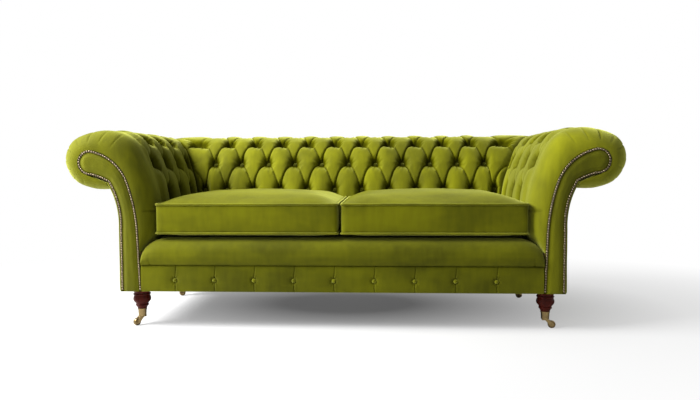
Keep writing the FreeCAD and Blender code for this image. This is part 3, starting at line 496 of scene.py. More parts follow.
def metal(made, base, tarnish, polish, wear=0.35, patina_scale=60.0):
    """Brass or steel with patina in patches and fine rubbing."""
    patches = made.spread(made.noise(patina_scale, 4.0, 0.65), 0.42, 0.68)
    scratches = made.noise(700.0, 2.0, 0.6, (1.0, 1.0, 0.1))
    colour = made.blend((patches * wear).limited(), tinted(base), tinted(tarnish))
    return made.shader(Base_Color=colour, Metallic=1.0,
                       Roughness=polish + patches * 0.16 + scratches * 0.05,
                       Normal=made.bump(scratches, 0.0001, 0.25))


def cloth(made, first, second, threads=1.0):
    """A plain woven cloth: two sets of threads crossing."""
    across, along = (made.node("ShaderNodeTexWave", {"bands_direction": direction},
                               {"Vector": made.place(), "Scale": 260.0 / threads, "Distortion": 1.2,
                                "Detail": 1.0}) for direction in "XY")
    weave = across * 0.5 + along * 0.5
    patches = made.spread(made.noise(9.0, 3.0), 0.35, 0.65)
    colour = made.blend((weave * 0.6 + patches * 0.4).limited(), tinted(first), tinted(second))
    return made.shader(Base_Color=colour, Roughness=0.9, Normal=made.bump(weave, 0.0005, 0.6))


# Each material, with what makes it and the values that it is made with
FINISHES = {
    # Each piece's velvet shade and shine are painted light and shade: the right arm and the back lighter with
    # more sheen, the border buttons lighter, the left arm, the seat and the facings darker with less sheen,
    # the cushions with less sheen, and the tufted buttons dark as shade in their pits.
    "green_velvet": (velvet,),
    "facing_velvet": (velvet, 0.84, FACING_NAP, 0.85),
    "left_arm_velvet": (velvet, 0.90, UPRIGHT_NAP, 0.55),
    "right_arm_velvet": (velvet, 1.52, UPRIGHT_NAP, 1.16),
    "back_velvet": (velvet, 1.50, UPRIGHT_NAP, 1.08),
    "seat_velvet": (velvet, 0.82, LEVEL_NAP, 0.60),
    "cushion_velvet": (velvet, 1.02, LEVEL_NAP, 0.44),
    "piping_velvet": (velvet, 1.05),
    "button_velvet": (velvet, 0.40),
    "border_button_velvet": (velvet, 1.15),
    "polished_mahogany": (wood, (0.028, 0.0032, 0.0018), (0.078, 0.0100, 0.0050), 0.26, 0.03),
    "sawn_beech": (wood, (0.34, 0.20, 0.10), (0.52, 0.34, 0.19), 0.6, 0.0, 16.0),
    "castor_brass": (metal, (0.25, 0.18, 0.080), (0.10, 0.065, 0.03), 0.24),
    "antique_nail_brass": (metal, (0.23, 0.182, 0.118), (0.014, 0.010, 0.007), 0.15, 1.0, 210.0),
    "spring_steel": (metal, (0.42, 0.42, 0.43), (0.16, 0.12, 0.10), 0.35),
    "jute_hessian": (cloth, (0.20, 0.13, 0.07), (0.40, 0.29, 0.17), 4.0),
    "deck_platform_cloth": (cloth, (0.07, 0.075, 0.02), (0.12, 0.125, 0.035), 1.2),
    "black_dust_cloth": (cloth, (0.008, 0.008, 0.008), (0.022, 0.022, 0.022)),
    "feather_cambric": (cloth, (0.55, 0.52, 0.46), (0.72, 0.69, 0.63), 0.8),
}
made_finishes = {}


def finish_for(name):
    """Each finish of the sofa, made once."""
    if name not in made_finishes:
        maker, *values = FINISHES[name]
        made = Finish(bpy.data.materials.new(name))
        made_finishes[name] = made.ended(maker(made, *values))
    return made_finishes[name]


# The section of the arms and the back: first out from the inner face, then up from the base
BOARD_KNEE = 0.250
SCROLL = np.array([0.247, 0.510])
SCROLL_RADIUS = 0.049
BOARD_SPACING = 0.004
INNER_EDGE = [(0.050, 0.0), (0.060, BOARD_KNEE), (0.101, 0.443), (0.247, 0.559)]
INNER_RISES = (0.0, 0.007, 0.024)
OUTER_EDGE = [(0.131, 0.0), (0.131, BOARD_KNEE), (0.175, 0.434), (0.247, 0.461)]
OUTER_RISES = (0.0, 0.014, 0.003)
QUARTER_RISE = SCROLL_RADIUS * (1 - math.sqrt(0.5))
SCROLL_TIP = (SCROLL[0] + SCROLL_RADIUS, SCROLL[1])
LINING = 0.0020
COVER_GAP = 0.0003
COVER_THICKNESS = 0.007
FACING_THICKNESS = 0.012

# The upholstered side from its foot to the throat, a point for each whole row number from FOOT_ROW
FOOT_ROW = -1
PAD_POINTS = [(0.0485, 0.157), (0.0, 0.240), (0.006, 0.380), (0.047, 0.510), (0.108, 0.609),
              (0.213, 0.641), (0.336, 0.606), (0.375, 0.522), (0.338, 0.440), (0.262, 0.406),
              (0.180, 0.4035)]
LAST_ROW = FOOT_ROW + len(PAD_POINTS) - 1
FIRST_BUTTON_ROW = 1
LAST_BUTTON_ROW = 4
ROW_STEP = 0.115

# Depth of the buttons and rise of the pillows by row, as shares of the full size
ROW_MARKS = (-1, 0, 1, 2, 3, 4, 5, 7, 9)
DEPTH_SHARES = (0.0, 0.35, 1.0, 1.0, 1.0, 0.53, 0.26, 0.10, 0.0)
RISE_SHARES = (0.0, 0.30, 1.0, 1.0, 1.0, 0.80, 0.45, 0.20, 0.0)

# Columns of buttons
ARM_FIRST_COLUMN = 0.165
ARM_COLUMN = 0.075
ARM_STRAIGHT_COLUMNS = 5
ARM_STRAIGHT_END = ARM_FIRST_COLUMN + ARM_STRAIGHT_COLUMNS * ARM_COLUMN
BACK_COLUMN = 0.0665
BACK_STRAIGHT_COLUMNS = 10
BACK_STRAIGHT_END = BACK_STRAIGHT_COLUMNS * BACK_COLUMN
CORNER_FAN = 0.045
CORNER_COLUMN = 0.72
CORNER_CREASE = 0.012
CREASE_REACH = 0.026
CREASE_MARKS = (-1, 0, 4, 6, 9)
CREASE_SHARES = (0.3, 1.0, 0.8, 0.25, 0.0)
SMOOTH_FRONT = 0.085
CLEARANCE = 0.0003
HIDDEN_POINTS = 28


def board_face():
    """The board's inner edge, from its foot up and round the scroll to its underside."""
    under = (SCROLL[0], SCROLL[1] - SCROLL_RADIUS)
    rises = INNER_RISES + (QUARTER_RISE, QUARTER_RISE)
    return arc_chain(INNER_EDGE + [SCROLL_TIP, under], rises, BOARD_SPACING)


def board_flank(spacing=BOARD_SPACING):
    """The board's outer edge from under the scroll down to its foot."""
    return arc_chain(OUTER_EDGE[2::-1], (-OUTER_RISES[1], 0.0), spacing)


def pad_rows():
    """Row numbers down the section, evenly spaced in length, closer where the cloth is buttoned."""
    dense = np.linspace(FOOT_ROW, LAST_ROW, 1200)
    points = smooth_curve(PAD_POINTS, dense - FOOT_ROW)
    fineness = np.where(dense[1:] < LAST_BUTTON_ROW + 0.8, 1.0, 0.62)
    way = travelled(points, fineness)
    count = int(way[-1] / run("sofa_padding").grid)
    return np.interp(np.linspace(0.0, way[-1], count), way, dense)


def bowed(climb, curve):
    """The way from one row to the next, part straight and part a quarter round."""
    return 1 - ((1 - curve) * (1 - climb) + curve * np.sqrt(np.clip(1 - climb ** 2, 0, 1)))


# The cloth between the buttons: widths and distances in metres, the rest as shares
PILLOW_FULLNESS = 2.1
TAUT_CREASE_RISE = 0.92
PIT_DIP = 0.35
HIGH_ROWS = (2.2, 3.0)
STRETCH_ABOVE = 0.20
STRETCH_BELOW = 0.48
BUTTON_CLEARING = 0.016
TAUT_PLEAT = (0.028, 0.052)
LAP_WIDTHS = 2.2
UNEVENNESS = 0.0022
GATHER_RING = 0.027
GATHER_SPREAD = 0.014
GATHER_RISE = 0.0010
# Widths of the shade painted round each button, wider on the high rows
PIT_SHADE = 0.0245
HIGH_PIT_SHADE = 0.0105


def buttoned_relief(column, row, tautness=0.0):
    """How far the buttoned cover stands off the smooth pad, and the shade painted over it in its pits and
    folds.

    Buttons sit where column and row are whole numbers with an even sum. The folds on the right of
    each diamond fall nearly straight, and those on its left bow out as they climb. A taut cover
    is smooth between its buttons, with short pleats.
    """
    size = run("sofa_padding")
    kept = np.clip(row, FIRST_BUTTON_ROW, LAST_BUTTON_ROW)
    below = np.floor(np.minimum(kept, LAST_BUTTON_ROW - 1e-4))
    rising = (column + below + bowed(kept - below, size.pleat_curve * 0.45)) / 2
    falling = (column - below - bowed(kept - below, size.pleat_curve)) / 2
    off_rising = rising - np.round(rising)
    off_falling = falling - np.round(falling)
    button_column = np.round(rising) + np.round(falling)
    button_row = np.round(rising) - np.round(falling)
    aside = (column - button_column) * BACK_COLUMN
    above = (kept - button_row) * ROW_STEP
    high_up = eased(kept, *HIGH_ROWS)
    stretch = np.where(above > 0, STRETCH_ABOVE, STRETCH_BELOW) * high_up
    reach = np.hypot(aside, above * (1 - stretch))

    pillow = ((1 - (1 - 2 * np.abs(off_rising)) ** PILLOW_FULLNESS)
              * (1 - (1 - 2 * np.abs(off_falling)) ** PILLOW_FULLNESS))
    crease_rise = size.crease_rise + (TAUT_CREASE_RISE - size.crease_rise) * tautness
    height = pillow + (1 - pillow) * crease_rise * (1 - bell(reach, size.pit_reach))
    height = height * (1 - PIT_DIP * bell(reach, 0.6 * size.pit_reach))

    from_rising = np.abs(off_rising) * ROW_STEP
    from_falling = np.abs(off_falling) * ROW_STEP
    fold = np.maximum(bell(from_rising, size.pleat_width), bell(from_falling, size.pleat_width))
    clear = (1 - bell(reach, BUTTON_CLEARING)) * (1 - tautness * eased(reach, *TAUT_PLEAT))
    lap_width = LAP_WIDTHS * size.pleat_width
    lap = (np.sign(off_rising) * np.exp(-from_rising / lap_width)
           - np.sign(off_falling) * np.exp(-from_falling / lap_width))

    depth_share = np.interp(row, ROW_MARKS, DEPTH_SHARES)
    rise_share = np.interp(row, ROW_MARKS, RISE_SHARES)
    pillow_depth = size.tuft_depth * depth_share
    uneven = UNEVENNESS * wavering(column, 1.4 * row, 1.3) * rise_share * height
    relief = -pillow_depth + (pillow_depth + size.pillow_rise * rise_share) * height + uneven
    relief = relief - size.pleat_depth * fold * clear * (0.4 + 0.6 * depth_share)
    relief = relief + size.pleat_lip * lap * clear * np.maximum(rise_share, 0.3)

    around = np.arctan2(above, aside)
    swirl = np.cos(9 * around + 2.1 * button_column + button_row)
    swirl = swirl + 0.6 * np.cos(14 * around - 1.3 * button_column)
    real_button = (row > FIRST_BUTTON_ROW - 0.6) & (row < LAST_BUTTON_ROW + 0.5)
    gathered = bell(reach - GATHER_RING, GATHER_SPREAD) * real_button
    # Painted shade: a dark oval in each button's pit, darker valleys between the pillows, and dark lines
    # along the pleats and in the gathers.
    pit_width = PIT_SHADE + HIGH_PIT_SHADE * np.clip(button_row - 2, 0, 1)
    painted_pit_shade = bell(np.hypot(1.2 * aside, above - 0.006), pit_width, 2.4) * real_button
    hollow = painted_pit_shade * np.minimum(1.0, 0.55 + 0.75 * depth_share) + (1 - height) * 0.30 * depth_share
    hollow = np.maximum(hollow, fold * clear * 0.62 * np.maximum(rise_share, 0.25))
    hollow = hollow + 0.18 * np.clip(-swirl, 0, 1) * gathered
    return relief + GATHER_RISE * swirl * gathered * depth_share, np.clip(hollow, 0, 1)


def pad_section(column, row, to_corner, buttoned, tautness=0.0):
    """Section points and painted shade for columns and rows; to_corner is the way to the mitre."""
    flat, later, earlier = (smooth_curve(PAD_POINTS, np.clip(row + step, FOOT_ROW, LAST_ROW) - FOOT_ROW)
                            for step in (0.0, 0.01, -0.01))
    relief, hollow = buttoned_relief(column, row, tautness)
    relief, hollow = relief * buttoned, hollow * buttoned
    near_corner = 1 - eased(to_corner, 0.0, CREASE_REACH)
    crease = -CORNER_CREASE * np.interp(row, CREASE_MARKS, CREASE_SHARES)
    relief = relief * (1 - near_corner) + crease * near_corner
    # Painted shade in the crease at the corner.
    hollow = np.maximum(hollow, near_corner ** 2 * 0.9)
    return flat + quarter_turned(later - earlier) * relief[..., None], hollow


def inner_line(count):
    """The hidden side of the padding, from its foot to the throat."""
    face = board_face()
    face = face + leftward(face) * LINING
    face = face[face[:, 1] > PAD_POINTS[0][1]]
    flank = board_flank()
    throat = flank[:1] + leftward(flank)[:1] * (COVER_THICKNESS + 2 * COVER_GAP)
    return resampled(np.vstack([face, throat]), count)


def pad_grid(columns):
    """Column and row numbers over the padding, and how far out the smooth pad lies at each."""
    column, row = np.meshgrid(columns, pad_rows(), indexing="ij")
    return column, row, smooth_curve(PAD_POINTS, row - FOOT_ROW)[..., 0]


def padded_rings(lay, columns, section, hollow):
    """Close each section along its hidden side; lay puts points out from the inner face in place."""
    hidden = inner_line(HIDDEN_POINTS)[::-1]
    seen = lay(columns[:, None], section[..., 0], section[..., 1])
    unseen = lay(columns[:, None], hidden[:, 0], hidden[:, 1])
    # The painted shade, none on the hidden side.
    depth = np.concatenate([hollow, np.zeros(unseen.shape[:2])], axis=1)
    return np.concatenate([seen, unseen], axis=1), depth.ravel()


# Where the cloth is gathered round the scroll, as row numbers, with the strength of each pleat
SCROLL_PLEATS = ((3.30, 0.7), (3.86, 0.9), (4.38, 1.0), (4.86, 0.9), (5.42, 1.0), (5.98, 0.8),
                 (6.52, 1.0), (7.10, 0.9), (7.62, 0.8), (8.30, 0.6))
SCROLL_PLEAT_WIDTH = 0.0034
SCROLL_PLEAT_DEPTH = 0.0038
SCROLL_PLEAT_SHADE = 0.34
ARM_FOLD_ROW = 0.62
ARM_FOLD_WIDTH = 0.004
ARM_TAUTNESS = 0.75


def front_gathers(along, row):
    """Short radial pleats behind the facing's edge and the fold where the arm meets the seat."""
    depth = np.zeros_like(along)
    for order, (at, strength) in enumerate(SCROLL_PLEATS):
        drift = at + 0.35 * math.sin(5.1 * order) * along
        reach = 0.062 + 0.022 * math.sin(3.7 * order)
        fade = eased(along, 0.004, 0.014) * (1 - eased(along, reach * 0.45, reach * 1.5))
        depth = depth + strength * bell(np.abs(row - drift) * 0.095, SCROLL_PLEAT_WIDTH) * fade
    fold = bell((row - (ARM_FOLD_ROW - 0.9 * along)) * 0.12, ARM_FOLD_WIDTH)
    return depth + 0.9 * fold * eased(along, 0.002, 0.01) * (1 - eased(along, 0.10, 0.22))


def arm_columns():
    """Column numbers along an arm, close together round its front edge."""
    grid = run("sofa_padding").grid
    front = SMOOTH_FRONT * (1 - np.cos(np.linspace(0.0, math.pi / 2, 18)))
    straight = np.arange(SMOOTH_FRONT + grid, ARM_STRAIGHT_END, grid)
    columns = (np.concatenate([front, straight]) - ARM_FIRST_COLUMN) / ARM_COLUMN
    end = ARM_STRAIGHT_COLUMNS + 1 + CORNER_COLUMN
    return np.concatenate([columns, np.arange(ARM_STRAIGHT_COLUMNS, end, grid / ARM_COLUMN), [end]])


def fanned(column, out, straight_columns, straight_end, mitre):
    """Distance of a column that turns into the corner: upright, half mitred, then on the mitre."""
    fan = mitre - CORNER_FAN + 0.5 * out
    corner = mitre + out - CLEARANCE
    to_fan = np.clip(column - straight_columns, 0, 1)
    to_corner = np.clip((column - straight_columns - 1) / CORNER_COLUMN, 0, 1)
    return straight_end + (fan - straight_end) * to_fan + (corner - fan) * to_corner


def arm_along(column, out):
    """How far behind the facing the points of an arm's columns lie."""
    fan = fanned(column, out, ARM_STRAIGHT_COLUMNS, ARM_STRAIGHT_END, SEAT_DEPTH)
    return np.where(column > ARM_STRAIGHT_COLUMNS, fan, ARM_FIRST_COLUMN + column * ARM_COLUMN)


def back_across(column, out):
    """How far from the middle the points of the back's columns lie."""
    fan = fanned(np.abs(column), out, BACK_STRAIGHT_COLUMNS, BACK_STRAIGHT_END, HALF_SEAT)
    return np.where(np.abs(column) > BACK_STRAIGHT_COLUMNS, np.sign(column) * fan, column * BACK_COLUMN)


def arm_padding(side):
    """One buttoned arm, from the nailed facing back to the corner."""
    columns = arm_columns()
    column, row, flat_out = pad_grid(columns)
    along = arm_along(column, flat_out)
    buttoned = eased(column, -0.85, -0.06)
    section, hollow = pad_section(column, row, SEAT_DEPTH + flat_out - along, buttoned, ARM_TAUTNESS)
    gathers = front_gathers(along, row)
    inner = inner_line(row.shape[1])
    for station in np.flatnonzero(along[:, 0] <= SMOOTH_FRONT):
        held = nearest(section[station], inner)[0]
        fullness = round_edge(along[station, 0], SMOOTH_FRONT)
        section[station] = held + (section[station] - held) * fullness
    normal = quarter_turned(np.gradient(section, axis=1))
    section = section - normal * (SCROLL_PLEAT_DEPTH * gathers)[..., None]
    # Painted shade in the gathers round the scroll.
    hollow = np.maximum(hollow, np.clip(gathers, 0, 1) * SCROLL_PLEAT_SHADE)

    def lay(column, out, up):
        return joined(side * (HALF_SEAT + out), FRONT + arm_along(column, out), BASE + up)

    return padded_rings(lay, columns, section, hollow)


def back_padding():
    """The buttoned back, from corner to corner."""
    end = BACK_STRAIGHT_COLUMNS + 1 + CORNER_COLUMN
    half = np.concatenate([np.arange(0.0, end, run("sofa_padding").grid / BACK_COLUMN), [end]])
    columns = np.concatenate([-half[:0:-1], half])
    column, row, flat_out = pad_grid(columns)
    to_corner = HALF_SEAT + flat_out - np.abs(back_across(column, flat_out))
    section, hollow = pad_section(column, row, to_corner, 1.0)

    def lay(column, out, up):
        return joined(back_across(column, out), BACK_FACE + out, BASE + up)

    return padded_rings(lay, columns, section, hollow)


# Pieces, one operator each
class SOFA_OT_arms(bpy.types.Operator):
    """Build the two buttoned arms"""
    bl_idname = "sofa.arms"
    bl_label = "Buttoned Arms"

    def execute(self, context):
        for name, side in SIDES.items():
            rings, hollow = arm_padding(side)
            pad = ring_mesh(name + "_arm_upholstery", rings, hollow, outer=rings.shape[1] - HIDDEN_POINTS)
            dress(pad, "sofa", finish_for(name + "_arm_velvet"), [name + "_arm_pad"])
        return {"FINISHED"}


class SOFA_OT_back(bpy.types.Operator):
    """Build the buttoned back"""
    bl_idname = "sofa.back"
    bl_label = "Buttoned Back"

    def execute(self, context):
        rings, hollow = back_padding()
        pad = ring_mesh("back_upholstery", rings, hollow, outer=rings.shape[1] - HIDDEN_POINTS)
        dress(pad, "sofa", finish_for("back_velvet"), ["back_pad"])
        return {"FINISHED"}


# Covers over the board: the nailed front, the outer arms and the outer back
FACING_DOME = 0.0045
NAIL_BAND = 0.0085
NAIL_SHADE = 0.95
NAIL_SHADE_EDGE = (0.0075, 0.0135)
EDGE_ROUND = 0.005
BLUNT_TIP = 3.0


def scroll_arc(start, finish, count):
    """Points round the scroll's end; the angles are in degrees, from straight out."""
    angles = np.radians(np.linspace(start, finish, count))
    return SCROLL + SCROLL_RADIUS * joined(np.cos(angles), np.sin(angles))


def facing_edges():
    """Matching points up the inner and the outer edge of the board, from its foot to the scroll's tip."""
    inner, outer = [], []
    for part in range(len(INNER_RISES)):
        count = int(math.dist(*INNER_EDGE[part:part + 2]) / BOARD_SPACING) + 1
        for line, edge, rises in ((inner, INNER_EDGE, INNER_RISES), (outer, OUTER_EDGE, OUTER_RISES)):
            arc = arc_chain(edge[part:part + 2], rises[part:part + 1], 0.002)
            line.append(resampled(arc, count)[:-1])
    inner.append(scroll_arc(90, BLUNT_TIP, 26))
    outer.append(scroll_arc(-90, -BLUNT_TIP, 26))
    return np.vstack(inner), np.vstack(outer)


def arm_facing(name, side):
    """The padded plate that closes the front of an arm, pulled down under its nails."""
    inner, outer = facing_edges()
    flat = inner[:, None, :] + (outer - inner)[:, None, :] * bunched(25)[None, :, None]
    inset = nearest(flat.reshape(-1, 2), np.vstack([inner, outer[::-1]]))[1].reshape(flat.shape[:2])
    inside = eased(inset, NAIL_BAND, 0.028)
    rise = -0.0016 + 0.0010 * eased(inset, 0.0, 0.003) + (0.0006 + FACING_DOME) * inside
    rise = rise + 0.0005 * wavering(flat[..., 0] * 40, flat[..., 1] * 22, 2.2) * inside
    rise = rise * eased(flat[..., 1], -0.002, 0.006)

    def placed(forward):
        return joined(side * (HALF_SEAT + flat[..., 0]), FRONT - forward, BASE + flat[..., 1])

    # Painted shade in the band round the nails, darkest at the board's edge.
    hollow = NAIL_SHADE * (1 - eased(inset, *NAIL_SHADE_EDGE))
    return slab_mesh(name, placed(rise), placed(-FACING_THICKNESS), hollow)


def cover_rings(stations, fullness, seed):
    """Sections of a tightly drawn outer cover: out from the inner face, up from the base."""
    flank = resampled(board_flank(0.002), 70)
    away = leftward(flank)
    foot = round_edge(flank[:, 1], EDGE_ROUND)
    inside = flank[::-1] + away[::-1] * COVER_GAP
    rings = []
    for station, full in zip(stations, fullness):
        slack = 0.0011 * wavering(6 * station, 9 * flank[:, 1], seed) - 0.0008
        thickness = COVER_THICKNESS * (0.30 + 0.70 * foot * full) + slack * foot * full
        rings.append(np.vstack([flank + away * (COVER_GAP + thickness)[:, None], inside]))
    return np.array(rings)


def outer_arm_cover(name, side):
    near = np.array([0.0, 0.0004, 0.0012, 0.0025, 0.004, 0.006, 0.010])
    along = np.concatenate([near, np.linspace(0.02, SEAT_DEPTH, 60)])
    rings = cover_rings(along, 0.15 + 0.85 * round_edge(along, EDGE_ROUND), 0.7)
    reach = along[:, None] / SEAT_DEPTH * (SEAT_DEPTH + rings[..., 0] - CLEARANCE)
    return ring_mesh(name, joined(side * (HALF_SEAT + rings[..., 0]), FRONT + reach, BASE + rings[..., 1]))


def outer_back_cover(name):
    across = np.linspace(-HALF_SEAT, HALF_SEAT, 140)
    rings = cover_rings(across, np.ones(len(across)), 3.1)
    reach = across[:, None] / HALF_SEAT * (HALF_SEAT + rings[..., 0] - CLEARANCE)
    return ring_mesh(name, joined(reach, BACK_FACE + rings[..., 0], BASE + rings[..., 1]))


# Front of the seat
LIP_HEIGHT = 0.102
LIP_PROUD = 0.014
LIP_DEPTH = 0.090
LIP_SHOULDER = 0.042
LIP_END_LENGTH = 0.095
LIP_END_DROP = 0.066
LIP_PLEAT_PITCH = 0.071
LIP_PLEAT_WIDTH = 0.0035
LIP_PLEAT_LENGTH = 0.028
LIP_PLEAT_RISE = 0.0028
BORDER_THICKNESS = 0.013
BORDER_PUFF = 0.0045
BORDER_PULL = 0.0060
BORDER_PULL_REACH = 0.0125
BORDER_GROOVE_DEPTH = 0.0022
BORDER_GROOVE_WIDTH = 0.0026
BORDER_LAP = 0.0021
BORDER_GATHER_RISE = 0.0007
BORDER_GATHER_RING = 0.015
BORDER_BUTTON_UP = 0.046
BORDER_BUTTON_PITCH = 0.157
BORDER_BUTTON_SHIFT = -0.022
BORDER_BUTTONS = np.array([BORDER_BUTTON_SHIFT + BORDER_BUTTON_PITCH * order for order in range(-4, 5)])


def lip_roll():
    """The stuffed roll along the front of the seat, rounded down at its ends."""
    end = LIP_HIGH.x
    low = LIP_LOW.z - BASE
    turns = np.linspace(0, math.pi / 2, 26)
    half = np.concatenate([np.arange(0.0, end - LIP_END_LENGTH, 0.009),
                           end - LIP_END_LENGTH * (1 - np.sin(turns))])
    rings, hollow = [], []
    for across in np.concatenate([-half[:0:-1], half]):
        share_in_end = np.clip((abs(across) - end + LIP_END_LENGTH) / LIP_END_LENGTH, 0, 1)
        fall = 1 - math.sqrt(max(1 - share_in_end ** 2.3, 0.0))
        height = LIP_HEIGHT - LIP_END_DROP * fall
        proud = LIP_PROUD * (1 - 0.55 * fall)
        scale = height / LIP_HEIGHT
        corners = [(0.0015, low), (-proud, low + 0.046 * scale),
                   (LIP_SHOULDER * (1 - 0.4 * fall), low + height),
                   (LIP_DEPTH, low + height * 0.99), (LIP_DEPTH, low)]
        front = arc_chain(corners[:3], (0.007, 0.015 * scale), 0.001)
        outline = np.vstack([resampled(front, 46), resampled(np.array(corners[2:4]), 8)[1:],
                             resampled(np.array(corners[3:]), 6)[1:]])
        below = outline[:, 1] - low
        off_pleat = np.mod(across + 0.004 * math.sin(31 * across), LIP_PLEAT_PITCH) - 0.035
        pleat = bell(off_pleat, LIP_PLEAT_WIDTH) * eased(share_in_end, 0.0, 0.5)
        pleat = pleat * np.exp(-below / LIP_PLEAT_LENGTH) * LIP_PLEAT_RISE
        sag = 0.0013 * wavering(7 * across, 25 * outline[:, 1], 4.0)
        depth = outline[:, 0] + np.where(outline[:, 0] < LIP_DEPTH - 0.002, pleat + sag, 0.0)
        rings.append(joined(across, FRONT + depth, BASE + outline[:, 1]))
        # Painted shade along the foot of the roll and in its pleats.
        hollow.append(np.clip(0.55 * np.exp(-below / 0.006) * (depth < 0.02) + pleat * 120, 0, 1))
    return ring_mesh("seat_lip_roll", rings, np.ravel(hollow))


def border_fold_line(up):
    """How far beside its button a fold of the border runs, at a height over the base."""
    over = np.clip((up - BORDER_BUTTON_UP) / (BORDER_TOP - BASE - BORDER_BUTTON_UP), 0, 1)
    under = np.clip((BORDER_BUTTON_UP - up) / BORDER_BUTTON_UP, 0, 1)
    return 0.0065 * over ** 0.7 + 0.0045 * under


def border_stations():
    """Places across the border, close together round the buttons and their folds."""
    fine = np.concatenate([np.arange(-0.030, -0.009, 0.004), np.arange(-0.009, 0.0135, 0.0009),
                           np.arange(0.0135, 0.034, 0.004)])
    coarse = np.arange(-HALF_BORDER, HALF_BORDER, 0.011)
    coarse = coarse[np.abs(coarse[:, None] - BORDER_BUTTONS).min(axis=1) > 0.034]
    close = (BORDER_BUTTONS[:, None] + fine).ravel()
    return np.sort(np.concatenate([coarse, close[np.abs(close) < HALF_BORDER], [HALF_BORDER]]))


def seat_border():
    """The border under the roll, buttoned, with an upright fold above and below each button."""
    height = BORDER_TOP - BASE
    across, up = np.meshgrid(border_stations(), height * bunched(44), indexing="ij")
    beside = across[..., None] - BORDER_BUTTONS
    aside = np.take_along_axis(beside, np.abs(beside).argmin(axis=-1)[..., None], axis=-1)[..., 0]
    from_button = np.hypot(aside, up - BORDER_BUTTON_UP)
    edge = round_edge(up, 0.006) * round_edge(height - up, 0.006)
    puffed = BORDER_PUFF * (1 - bell(aside, 0.034)) * np.sin(np.pi * np.clip(up / height, 0, 1)) ** 0.6
    pull = -BORDER_PULL * bell(from_button, BORDER_PULL_REACH, 4)
    to_fold = aside - border_fold_line(up)
    groove = -BORDER_GROOVE_DEPTH * bell(to_fold, BORDER_GROOVE_WIDTH)
    lap = BORDER_LAP * np.where(to_fold > 0, np.exp(-to_fold / 0.012), -0.3 * np.exp(to_fold / 0.016))
    fade = eased(from_button, 0.004, 0.011)
    swirl = np.cos(11 * np.arctan2(up - BORDER_BUTTON_UP, aside) + 40 * across)
    gathers = BORDER_GATHER_RISE * swirl * bell(from_button - BORDER_GATHER_RING, 0.008)
    forward = puffed + pull + (groove + lap) * fade + gathers + 0.0006 * wavering(9 * across, 30 * up, 5.0)
    forward = forward * edge - 0.0045 * (1 - edge)
    front = joined(across, FRONT - forward, BASE + up)
    back = joined(across, FRONT + BORDER_THICKNESS, BASE + up)
    # Painted shade along the folds, round each button, and under the roll at the top.
    hollow = np.clip(bell(to_fold, 0.0034) * fade * 0.26 + 0.3 * bell(from_button, 0.011)
                     + 0.5 * np.exp(-(height - up) / 0.004), 0, 1)
    return slab_mesh("seat_front_border", front, back, hollow)


def deck_padding():
    """The springy platform under the cushions, stuffed a little higher in the middle."""
    low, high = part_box("seat_deck_pad")
    across, along = np.meshgrid(np.linspace(low.x, high.x, 90), np.linspace(low.y, high.y, 40),
                                indexing="ij")
    from_edge = np.minimum.reduce([across - low.x, high.x - across, along - low.y, high.y - along])
    top = high.z - 0.010 + 0.010 * round_edge(from_edge, 0.030)
    top = top - 0.0008 * (1 + wavering(5 * across, 6 * along, 1.0))
    return slab_mesh("seat_platform", joined(across, along, top), joined(across, along, low.z))


# Loose cushions
CUSHION_EDGE = 0.0072
CUSHION_SIDE = HALF_SEAT - CUSHION_EDGE
CUSHION_NEAR = FRONT + 0.0102
CUSHION_FAR = BACK_FACE - 0.0072
CUSHION_SHOULDER = 0.115
CUSHION_UNDER = 0.0135
PIPING_RADIUS = 0.0042
PIPING_CORNER = 0.012
CUSHION_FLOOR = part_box("seat_deck_pad")[1].z + 0.0006
CORE_GAP = 0.004
PUCKER_RISE = 0.0008
PUCKER_REACH = 0.018
CROWN_SLACK = 0.0016
CUSHION_CENTRE = ((CUSHION_EDGE + CUSHION_SIDE) / 2, (CUSHION_NEAR + CUSHION_FAR) / 2)
LOWER_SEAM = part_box("left_cushion_piping")[0].z + PIPING_RADIUS
UPPER_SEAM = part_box("left_cushion_piping")[1].z - PIPING_RADIUS


def block_surface(counts):
    """Points and faces over the surface of a block that is divided evenly three ways."""
    index, spots, faces = {}, [], []

    def spot(*place):
        if place not in index:
            index[place] = len(spots)
            spots.append(place)
        return index[place]

    for axis in range(3):
        first, second = (axis + 1) % 3, (axis + 2) % 3
        for level in (0, counts[axis]):
            for one in range(counts[first]):
                for two in range(counts[second]):
                    corners = []
                    for step_one, step_two in ((0, 0), (1, 0), (1, 1), (0, 1)):
                        place = [0, 0, 0]
                        place[axis], place[first], place[second] = level, one + step_one, two + step_two
                        corners.append(spot(*place))
                    faces.append(tuple(corners))
    return np.array(spots), faces


def from_outline(across, along):
    """Distances in from the nearer side and from the nearer end of a cushion."""
    return (np.minimum(across - CUSHION_EDGE, CUSHION_SIDE - across),
            np.minimum(along - CUSHION_NEAR, CUSHION_FAR - along))


